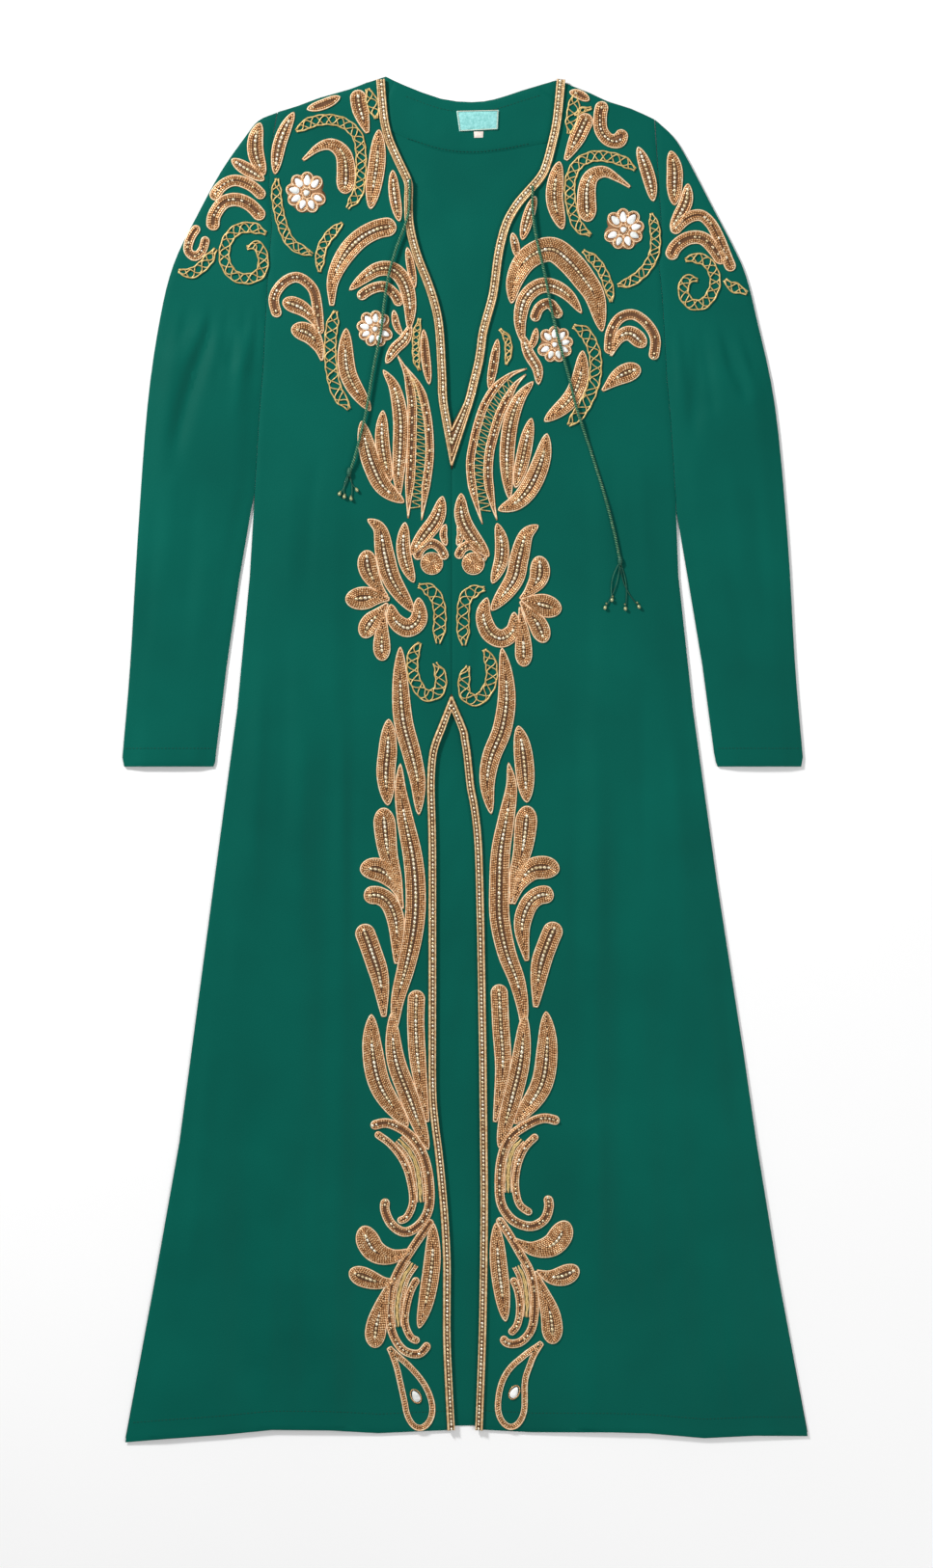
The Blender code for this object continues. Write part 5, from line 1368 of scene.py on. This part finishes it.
def bead_rosette(work, x, y, radius, place, side):
    """Petals of cut stones in loops of cord, round a middle stone."""
    turns = full_turn(64)
    angles = np.array([math.radians(turn if side < 0 else 180.0 - turn) for turn, *_ in PETALS])
    nearest = np.max(np.cos(turns[:, None] - angles[None, :]), axis=1)
    pad_round(work["fill"], x, y, radius * (0.62 + 0.34 * np.clip((nearest - 0.7) / 0.3, 0.0, 1.0)), place)
    for angle, (_, out, long, wide) in zip(angles, PETALS):
        size = DRAW.uniform(0.92, 1.06)
        out, long, wide = out * radius, long * radius * size, wide * radius * size
        middle = np.array([x + out * math.cos(angle), y + out * math.sin(angle)])
        centre = place(middle[None, :], OVER_RISE)[0]
        work["stones"].stone(centre, angle, long * 0.94, wide, 1.5)
        spin = full_turn(40)
        swell = 1.0 + 0.16 * np.cos(spin)
        for grow, rise, beads in ((1.1, 1.1, True), (2.5, 0.75, False)):
            along = (long / 2 + grow) * np.cos(spin)
            over = (wide / 2 + grow) * np.sin(spin) * swell
            line = place(turned(np.stack([along, over], axis=1), angle) + middle, rise)
            if beads:
                work["seeds"].seeds(line, True, radius=0.75, pitch=1.7)
            else:
                work["outline"].cord(line, True, 0.75)
    centre = place(np.array([[x, y]]), 1.6)[0]
    middle_size = 0.26 * radius
    work["stones"].stone(centre, 0.3, middle_size * 1.1, middle_size, 1.7)
    ring = polar(x, y, middle_size / 2 + 1.0, full_turn(24))
    work["seeds"].seeds(place(ring, 1.7), True, radius=0.7, pitch=1.6)


# Nets and threads

def make_net(batch, width, path, place):
    """Two rails of couched cord, drawn together at the ends, with a chain of loops between them."""
    length = path_length(path)
    count = max(24, round(length / NET_STEP))
    spine = even_path(path, count)
    sides = normals_of(spine)
    along = np.linspace(0.0, length, count + 1)
    ends = np.minimum(ramp(along, 0.0, NET_END), 1.0 - ramp(along, length - NET_END, length))
    taper = NET_END_SHARE + (1.0 - NET_END_SHARE) * ends
    half = (width / 2 - THREAD) * taper
    for sign in (-1.0, 1.0):
        sway = SWAY * np.sin(along * SWAY_TURN + DRAW.uniform(0.0, 6.0))
        line = spine + sides * (sign * half + sway)[:, None]
        batch.cord(place(line, RAIL_RISE), False, THREAD * 1.15)
    for sign, lift in ((1.0, THREAD_RISE), (-1.0, OVER_RISE)):
        steps = np.concatenate([[0.0], DRAW.uniform(0.75, 1.3, count)])
        phase = np.cumsum(steps) * math.pi / (width * 0.82)
        reach = half * (1.0 if sign > 0 else DRAW.uniform(0.7, 1.0))
        line = spine + sides * (sign * reach * np.sin(phase * length / count))[:, None]
        batch.cord(place(line, lift), False, THREAD * 0.85, pitch=1.6)


def make_zigzag(batch, side, place):
    """Thin thread that winds between the two narrow bands beside the neck opening."""
    bands = [side_path(left, right, side) for kind, _, left, right in FRONT_MOTIFS if kind == "slim"]
    near, far = [even_path(path, ZIGZAG_TURNS * 2) for path in bands[:2]]
    first, last = 5, ZIGZAG_TURNS * 2 - 2
    spots = []
    for i in range(first, last):
        share = 0.18 if i % 2 else 0.82
        share += DRAW.uniform(-0.06, 0.06)
        spots.append(near[i] + (far[i] - near[i]) * share)
    line = np.array(smooth_path(spots, 4))
    batch.cord(place(line, 1.1), False, THREAD * 0.75, pitch=1.4)


# Edgings

def trim_edges(side, neck):
    if neck:
        inner = [*edge_of(NECK_EDGE, side, 0.0), (seam_x(side), NECK_TIP[0])]
        outer = [*edge_of(NECK_EDGE, side, NECK_TRIM), (seam_x(side), NECK_TIP[1])]
    else:
        inner = [(seam_x(side), SLIT_TIP[0]), *edge_of(SLIT_EDGE, side, 0.0)]
        outer = [(seam_x(side), SLIT_TIP[1]), *edge_of(SLIT_EDGE, side, SLIT_TRIM)]
    return np.array(inner), np.array(outer)


def make_edging(side, word, neck):
    """A strip of cords and gold beads along an edge of the front."""
    inner, outer = trim_edges(side, neck)
    name = ("neck_edging_" if neck else "slit_edging_") + word
    place = placer(plain_top, side)
    base, cords, gold = Batch(), Batch(), Batch()
    rows = len(inner)
    grid = np.stack([place(inner + (outer - inner) * share, rise) for share, rise in EDGE_SECTION], axis=1)
    quads = ring_quads(rows, 4, flip=True)
    ends = [range(3, -1, -1), range(4 * rows - 4, 4 * rows)]
    first = [tuple(grid[row, column, :2]) for row, column in ((0, 0), (0, 3), (1, 3), (1, 0))]
    if area_of(first) < 0:
        quads = quads[:, ::-1]
        ends = [range(4), range(4 * rows - 1, 4 * rows - 5, -1)]
    base.add(grid.reshape(-1, 3), quads, ends, 0.15)
    for share, radius, style in NECK_ROWS if neck else SLIT_ROWS:
        line = np.array(smooth_path(inner + (outer - inner) * share, 3))
        if style == "cord":
            cords.cord(place(line, EDGE_TOP + radius * 0.45), False, radius, pitch=1.5, sides=6)
            continue
        if style == "seeds":
            cords.seeds(place(line, EDGE_TOP + radius * 0.45), False, radius, pitch=2.1)
            continue
        lengths = run_lengths(line)
        count = round(lengths[-1] / EDGE_BEAD_PITCH)
        marks = (np.arange(count) + 0.5) * lengths[-1] / count + DRAW.uniform(-0.4, 0.4, count)
        spots = spots_on(line, lengths, marks)
        ahead = np.gradient(spots, axis=0)
        angles = np.arctan2(ahead[:, 1], ahead[:, 0])
        sizes = [(radius * DRAW.uniform(1.0, 1.3), radius * DRAW.uniform(0.8, 1.0), radius * 0.85)
                 for _ in range(count)]
        gold.balls(place(spots, 2.0), angles, sizes, DRAW.uniform(0.3, 1.0, count))
    piece = base.finish(name + "_base", "fill", "gold_cord")
    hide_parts(("neck_trim_" if neck else "slit_trim_") + word)
    cords.finish(name + "_cords", "edge_cord", "gold_cord")
    gold.finish(name + "_beads", "gold", "gold_beads")


def stitch_row(batch, line, length=2.3, pitch=3.7, radius=0.24):
    """A row of short stitches along a line of points in space."""
    lengths = run_lengths(line)
    for start in np.arange(0.0, lengths[-1] - length, pitch):
        spots = spots_on(line, lengths, start + length * np.array((0.0, 0.25, 0.75, 1.0)))
        spots[:, 2] += np.array((-0.2, 0.05, 0.05, -0.2))
        batch.tube(spots, radius, 0.5, sides=4)


def make_stitches():
    batch = Batch()
    for side in (-1, 1):
        inner = edge_of(SLIT_EDGE, side, SLIT_TRIM + 2)[-1][0]
        outer = (SIDE[-1][1] if side < 0 else SIDE[-1][2]) - side * 6
        across = np.linspace(inner, outer, 90)
        flat = np.array([(x, hem_y(x) + HEM_DEPTH) for x in across])
        stitch_row(batch, placer(front_top, side)(flat, STITCH_LIFT))
        cuff_in, cuff_out = SLEEVE_INNER[-1][1 if side < 0 else 2], SLEEVE_OUTER[side][-1][0]
        across = np.linspace(cuff_in + side * 2, cuff_out - side * 2, 30)
        flat = np.array([(x, CUFF_Y + CUFF_DEPTH) for x in across])
        stitch_row(batch, placer(sleeve_top, side)(flat, STITCH_LIFT))
    for curve in ([(x, y + 2.2) for x, y in FACING_ARC], NECK_BAND):
        flat = np.array(smooth_path(curve, 6))
        stitch_row(batch, np.column_stack([flat, level(FRONT_INNER + FACING_THICK + STITCH_LIFT)(flat)]))
    batch.finish("stitches", "stitch", "crepe")


# Tie cords

def cord_line(side):
    """The cord's centre line: over the edging, over the raised work, then down onto the plain cloth."""
    route = [*CORD_ROUTE[side], TASSELS[side][0]]
    flat = even_path(route, round(path_length(route) / TIE_STEP))
    high, low = RAISED_ENDS[side]
    start = np.hypot(*(flat - flat[0]).T)
    heights = OVER_RAISED + (OVER_TRIM - OVER_RAISED) * (1.0 - ramp(start, *LEAVES_TRIM))
    heights = np.minimum(heights, ON_CLOTH + (heights - ON_CLOTH) * ramp(flat[:, 1], low, high))
    return np.column_stack([flat, heights + front_lift(flat, side)])


def make_tie(side, word):
    """A cord of two strands twisted together, with painted shade that darkens its tone in the groove
    between them.
    """
    line = cord_line(side)
    lengths = run_lengths(line)
    turns = full_turn(TIE_SIDES)
    twist = 2.0 * (turns[None, :] - 2.0 * math.pi * lengths[:, None] / TIE_TWIST)
    # Painted shade: the tone is darkest in the groove between the strands, where the cord is thinnest
    tones = 0.5 + 0.5 * np.cos(twist)
    batch = Batch()
    batch.wrap(line, CORD / 2 * (0.84 + 0.2 * np.cos(twist)), turns, tones.reshape(-1))
    piece = batch.finish("tie_" + word, "tie", "tie_cord")
    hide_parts("tie_cord_" + word)
    ends = make_tassel(side, word)


def make_tassel(side, word):
    """A wrapped knot with thin strands, each ending in a bead."""
    knot, ends = TASSELS[side]
    knot = np.array(knot, float)
    strands, beads = Batch(), Batch()
    away = knot - np.mean(ends, axis=0)
    away /= np.hypot(*away)
    place = placer(front_top, side)
    axis = [knot + away * step for step in np.linspace(5.2, -4.6, len(KNOT_RADII))]
    strands.tube(place(axis, LAYER_GAP + 2.4), KNOT_RADII, KNOT_TONES, sides=TIE_SIDES)
    for i, end in enumerate(ends):
        end = np.array(end, float)
        bow = np.array([end[1] - knot[1], knot[0] - end[0]]) * (0.1 if i % 2 else -0.07)
        shares = np.linspace(0.0, 1.0, 12)
        flat = [knot + (end - knot) * share + bow * math.sin(math.pi * share) for share in shares]
        strands.tube(place(flat, LAYER_GAP + 1.1), STRAND_RADIUS, DRAW.uniform(0.1, 0.8, 12), sides=6)
        angle = math.atan2(*(end - knot)[::-1])
        beads.balls(place([end], LAYER_GAP + BEAD), [angle], [(BEAD * 1.15, BEAD * 0.9, BEAD * 0.9)], [0.7])
        near = end + (knot - end) * 0.09
        beads.balls(place([near], LAYER_GAP + BEAD * 0.7), [angle], [(1.2, 1.2, 1.1)], [0.2])
    knot_piece = strands.finish("tie_end_" + word, "tie_end", "tie_cord")
    bead_piece = beads.finish("tie_beads_" + word, "tie_bead", "gold_beads")
    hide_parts("tassel_" + word)
    return [knot_piece, bead_piece]


# Finishes

def ramp_stops(node, stops):
    elements = node.color_ramp.elements
    while len(elements) > len(stops):
        elements.remove(elements[-1])
    while len(elements) < len(stops):
        elements.new(1.0)
    for element, (place, *colour) in zip(elements, stops):
        element.position = place
        element.color = (*colour, 1.0)


def new_finish(key, stops, roughness, metallic=0.0, tone=True, mottle=(600.0, 0.25),
               bump=(900.0, 0.3, 0.0004), sheen=0.0, sheen_tint=(1.0, 1.0, 1.0), coat=0.0,
               gloss_spread=0.15, specular=0.35):
    """A finish whose colour follows the tone of its points or a broad mottle, on an uneven surface.

    Each stop is a place and a colour. The mottle is a scale and a strength. The bump is a scale,
    a strength and a depth in metres.
    """
    made = bpy.data.materials.new(key)
    made.use_nodes = True
    nodes = made.node_tree.nodes
    links = made.node_tree.links
    shader = nodes["Principled BSDF"]
    place = nodes.new("ShaderNodeTexCoord")
    noise = nodes.new("ShaderNodeTexNoise")
    noise.inputs["Scale"].default_value = mottle[0]
    noise.inputs["Detail"].default_value = 3.0
    links.new(place.outputs["Object"], noise.inputs["Vector"])
    spread = nodes.new("ShaderNodeMath")
    spread.operation = "MULTIPLY_ADD"
    spread.inputs[1].default_value = mottle[1] if tone else 2.0 * mottle[1]
    spread.inputs[2].default_value = -0.5 * mottle[1] if tone else 0.5 - mottle[1]
    links.new(noise.outputs["Fac"], spread.inputs[0])
    shade = spread
    if tone:
        source = nodes.new("ShaderNodeAttribute")
        source.attribute_name = "tone"
        shade = nodes.new("ShaderNodeMath")
        shade.operation = "ADD"
        links.new(source.outputs["Fac"], shade.inputs[0])
        links.new(spread.outputs[0], shade.inputs[1])
    colour = nodes.new("ShaderNodeValToRGB")
    ramp_stops(colour, stops)
    links.new(shade.outputs[0], colour.inputs["Fac"])
    links.new(colour.outputs["Color"], shader.inputs["Base Color"])
    gloss = nodes.new("ShaderNodeMapRange")
    gloss.inputs["To Min"].default_value = max(roughness - gloss_spread / 2, 0.05)
    gloss.inputs["To Max"].default_value = roughness + gloss_spread / 2
    links.new(noise.outputs["Fac"], gloss.inputs["Value"])
    links.new(gloss.outputs["Result"], shader.inputs["Roughness"])
    sockets = {
        "Metallic": metallic, "Specular IOR Level": specular, "Sheen Weight": sheen, "Sheen Roughness": 0.4,
        "Sheen Tint": (*sheen_tint, 1.0), "Coat Weight": coat, "Coat Roughness": 0.08,
    }
    for socket, value in sockets.items():
        shader.inputs[socket].default_value = value
    grain = nodes.new("ShaderNodeTexNoise")
    grain.inputs["Scale"].default_value = bump[0]
    grain.inputs["Detail"].default_value = 4.0
    links.new(place.outputs["Object"], grain.inputs["Vector"])
    rough = nodes.new("ShaderNodeBump")
    rough.inputs["Strength"].default_value = bump[1]
    rough.inputs["Distance"].default_value = bump[2]
    links.new(grain.outputs["Fac"], rough.inputs["Height"])
    links.new(rough.outputs["Normal"], shader.inputs["Normal"])
    return made


FINISH = {
    "crepe": new_finish(
        "emerald_crepe",
        ((0.0, 0.0003, 0.074, 0.055), (0.5, 0.0004, 0.095, 0.070), (1.0, 0.0006, 0.114, 0.084)),
        0.6, tone=False, mottle=(7.0, 0.6), bump=(750.0, 0.55, 0.0003), sheen=0.05,
        sheen_tint=(0.0, 1.0, 0.75), specular=0.06
    ),
    # Its dark low end gives the painted shade in the middle of a motif's pad
    "fill": new_finish(
        "copper_thread",
        ((0.0, 0.10, 0.040, 0.014), (1.0, 0.50, 0.25, 0.11)), 0.6, 0.15,
        mottle=(500.0, 0.5), bump=(800.0, 0.6, 0.0005)
    ),
    # The dark low end of this ramp is the painted shade between seed beads
    "seeds": new_finish(
        "copper_seeds",
        ((0.05, 0.09, 0.030, 0.009), (0.38, 0.56, 0.26, 0.095), (0.72, 0.98, 0.62, 0.31),
         (1.0, 1.0, 0.90, 0.66)),
        0.32, 0.4, mottle=(260.0, 0.5), bump=(1200.0, 0.2, 0.0003)
    ),
    "outline": new_finish(
        "rose_cord",
        ((0.0, 0.50, 0.24, 0.105), (0.5, 0.92, 0.58, 0.33), (1.0, 1.0, 0.86, 0.62)), 0.45, 0.2,
        mottle=(400.0, 0.4), bump=(900.0, 0.5, 0.0005)
    ),
    "gold": new_finish(
        "champagne_beads",
        ((0.1, 0.45, 0.30, 0.14), (0.5, 0.82, 0.66, 0.40), (1.0, 0.98, 0.90, 0.70)), 0.2,
        0.5, mottle=(420.0, 0.5), bump=(500.0, 0.25, 0.0006)
    ),
    "net": new_finish(
        "gold_net_cord",
        ((0.0, 0.30, 0.18, 0.05), (0.5, 0.62, 0.42, 0.15), (1.0, 0.88, 0.68, 0.32)), 0.42,
        0.35, mottle=(500.0, 0.4), bump=(900.0, 0.5, 0.0005)
    ),
    "edge_cord": new_finish(
        "gold_edge_cord",
        ((0.0, 0.30, 0.15, 0.06), (0.5, 0.66, 0.42, 0.20), (1.0, 0.90, 0.70, 0.42)), 0.4,
        0.35, mottle=(500.0, 0.4), bump=(900.0, 0.5, 0.0005)
    ),
    "gem": new_finish(
        "cut_stones",
        ((0.2, 0.62, 0.66, 0.64), (0.55, 0.90, 0.91, 0.88), (1.0, 1.0, 1.0, 0.98)), 0.08,
        0.0, mottle=(180.0, 0.9), bump=(300.0, 0.1, 0.0004), coat=0.6, gloss_spread=0.04
    ),
    # Its dark low end is the painted shade in the grooves between the two strands
    "tie": new_finish(
        "flecked_tie_cord",
        ((0.25, 0.006, 0.045, 0.024), (0.62, 0.02, 0.15, 0.075), (0.86, 0.05, 0.26, 0.13),
         (1.0, 0.50, 0.52, 0.30)),
        0.6, mottle=(380.0, 0.75), bump=(1100.0, 0.7, 0.0005), sheen=0.2
    ),
    "tie_end": new_finish(
        "dark_teal_strands",
        ((0.0, 0.004, 0.035, 0.024), (1.0, 0.03, 0.17, 0.10)), 0.55,
        mottle=(500.0, 0.4), bump=(1000.0, 0.5, 0.0005)
    ),
    "tie_bead": new_finish(
        "green_gold_beads",
        ((0.0, 0.10, 0.14, 0.06), (1.0, 0.62, 0.62, 0.34)), 0.25, 0.3,
        mottle=(400.0, 0.5), bump=(600.0, 0.2, 0.0004)
    ),
    "label": new_finish(
        "turquoise_tape",
        ((0.2, 0.19, 0.52, 0.50), (0.8, 0.33, 0.72, 0.70)), 0.8, tone=False,
        mottle=(420.0, 0.8), bump=(900.0, 0.7, 0.0005), sheen=0.15
    ),
    "tab": new_finish(
        "cream_tape",
        ((0.2, 0.70, 0.56, 0.50), (0.8, 0.90, 0.80, 0.72)), 0.8, tone=False, mottle=(500.0, 0.8),
        bump=(900.0, 0.6, 0.0005)
    ),
    "cream": new_finish(
        "cream_thread",
        ((0.2, 0.66, 0.60, 0.46), (0.8, 0.90, 0.86, 0.72)), 0.7, tone=False,
        mottle=(700.0, 0.8), bump=(1000.0, 0.6, 0.0005)
    ),
    "stitch": new_finish(
        "green_thread",
        ((0.2, 0.001, 0.045, 0.030), (0.8, 0.004, 0.085, 0.056)), 0.5, tone=False,
        mottle=(700.0, 0.8), bump=(1000.0, 0.4, 0.0004)
    ),
    "floor": new_finish(
        "white_table",
        ((0.0, 0.96, 0.96, 0.96), (1.0, 0.99, 0.99, 0.99)), 0.9, tone=False, mottle=(3.0, 0.5),
        bump=(60.0, 0.05, 0.0004)
    ),
}


# Assembly

def make_work(side, word):
    """All the beaded applique of one side."""
    front = placer(front_top, side)
    sleeve = placer(sleeve_top, side)
    zones = {"upper": new_work(), "lower": new_work(), "sleeve": new_work()}
    for table, place in ((FRONT_MOTIFS, front), (SLEEVE_MOTIFS, sleeve)):
        for kind, width, left, right in table:
            path = side_path(left, right, side)
            if not path:
                continue
            zone = "sleeve" if table is SLEEVE_MOTIFS else zone_of(path)
            if width == PAISLEY:
                make_paisley(zones[zone], side, width, path, place)
            else:
                open_middle = kind in OPEN_KINDS and width >= OPEN_WIDTH
                bead_motif(zones[zone], kind, width, path, place, open_middle)
    for table, make in ((ROSETTES, bead_rosette), (SCROLL_DISCS, bead_disc)):
        for x, y, radius in table:
            x, y = side_path(((x, y),), MIRROR, side)[0]
            make(zones["upper"], x, y, radius, front, side)
    for name, width, left, right in NETS:
        if name in BANDED_NETS:
            edge_net(zones["lower"], width, side_path(left, right, side), front)
    for zone, work in zones.items():
        tail = "_%s_%s" % (zone, word)
        work["fill"].finish("padding" + tail, "fill", "copper_beads")
        work["outline"].finish("outline_cords" + tail, "outline", "copper_beads")
        work["seeds"].finish("seed_beads" + tail, "seeds", "copper_beads")
        work["gold"].finish("gold_beads" + tail, "gold", "gold_beads")
        if work["stones"].count:
            work["stones"].finish("stones" + tail, "gem", "gems", smooth=False)


def zone_of(path):
    return "upper" if np.mean(path, axis=0)[1] > WORK_SPLIT else "lower"


def new_work():
    return {key: Batch() for key in ("fill", "outline", "seeds", "gold", "stones")}


def make_paisley(work, side, width, path, place):
    """A drop with an open middle, and a stone in a loop of cord inside it."""
    spot, aside, half, length = fine_motif("drop", width, path)
    outline = outline_of(spot, aside, half)
    work["outline"].cord(place(inset(outline, 0.8), 0.6), True, OUTLINE_CORD)
    for depth in (2.5, 4.2):
        work["seeds"].seeds(place(inset(outline, depth), 0.75), True)
    work["outline"].cord(place(inset(outline, 5.8), 0.55), True, 0.6)
    x, y, angle = PAISLEY_STONE[side]
    angle = math.radians(angle)
    centre = place(np.array([[x, y]]), 0.3)[0]
    work["stones"].stone(centre, angle, 12.5, 7.5, 1.6)
    loop = polar(0.0, 0.0, 1.0, full_turn(36)) * np.array((7.6, 4.9))
    work["seeds"].seeds(place(turned(loop, angle) + np.array((x, y)), 0.8), True, radius=0.75, pitch=1.7)


def edge_net(work, width, path, place):
    """Two narrow rows of seed beads along each side of a net."""
    spine = even_path(path, 80)
    for sign in (-1.0, 1.0):
        for out, key in ((1.3, "outline"), (2.9, "seeds"), (4.4, "outline")):
            line = spine + normals_of(spine) * sign * (width / 2 + out - 1.0)
            if key == "seeds":
                work[key].seeds(place(line, 0.8), False)
            else:
                work[key].cord(place(line, 0.6), False, 0.65)


def make_nets(side, word):
    batch = Batch()
    place = placer(front_top, side)
    across = placer(net_top, side)
    nodes = []
    for name, width, left, right in NETS:
        path = side_path(left, right, side)
        make_net(batch, width - BANDED_LESS if name in BANDED_NETS else width + NET_SPREAD, path, across)
        nodes.append("%s_%s" % (name, word))
    for width, left, right in SMALL_NETS:
        path = side_path(left, right, side)
        if path:
            make_net(batch, width, path, place)
    make_zigzag(batch, side, place)
    piece = batch.finish("nets_" + word, "net", "gold_cord")
    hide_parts(*nodes)


def make_floor():
    mesh = bpy.data.meshes.new("table_top")
    corners = [(x * TABLE_HALF, y * TABLE_HALF, TABLE_TOP) for x, y in ((-1, -1), (1, -1), (1, 1), (-1, 1))]
    mesh.from_pydata(corners, [], [(0, 1, 2, 3)])
    mesh.materials.append(FINISH["floor"])
    floor = bpy.data.objects.new("table_top", mesh)
    bpy.context.scene.collection.objects.link(floor)


def make_light():
    """Two round lamps that aim at the middle of the garment, in a soft white surround."""
    scene = bpy.context.scene
    for name, (place, size, power) in LIGHTS.items():
        data = bpy.data.lights.new(name, "AREA")
        data.shape = "DISK"
        data.size = size
        data.energy = power
        lamp = bpy.data.objects.new(name, data)
        lamp.location = place
        lamp.rotation_euler = (-Vector(place)).to_track_quat("-Z", "Y").to_euler()
        scene.collection.objects.link(lamp)
    world = bpy.data.worlds.new("soft_white")
    world.use_nodes = True
    backdrop = world.node_tree.nodes["Background"]
    backdrop.inputs["Color"].default_value = (1.0, 1.0, 1.0, 1.0)
    backdrop.inputs["Strength"].default_value = WORLD
    scene.world = world
    scene.view_settings.view_transform = "Standard"


def make_camera():
    """A camera straight above, whose frame is as high as the photo's."""
    scene = bpy.context.scene
    data = bpy.data.cameras.new("straight_down")
    data.sensor_width = SENSOR
    data.lens = SENSOR * CAMERA_PLACE[2] / FRAME_HEIGHT
    data.clip_end = 50.0
    camera = bpy.data.objects.new("straight_down", data)
    camera.location = CAMERA_PLACE
    scene.collection.objects.link(camera)
    scene.camera = camera


make_back_cloth()
make_neck_cloth()
for side, word in ((-1, "left"), (1, "right")):
    make_front_cloth(side, word)
    make_sleeve_cloth(side, word)
    make_work(side, word)
    make_nets(side, word)
    make_edging(side, word, True)
    make_edging(side, word, False)
    make_tie(side, word)
make_stitches()
make_floor()
make_light()
make_camera()
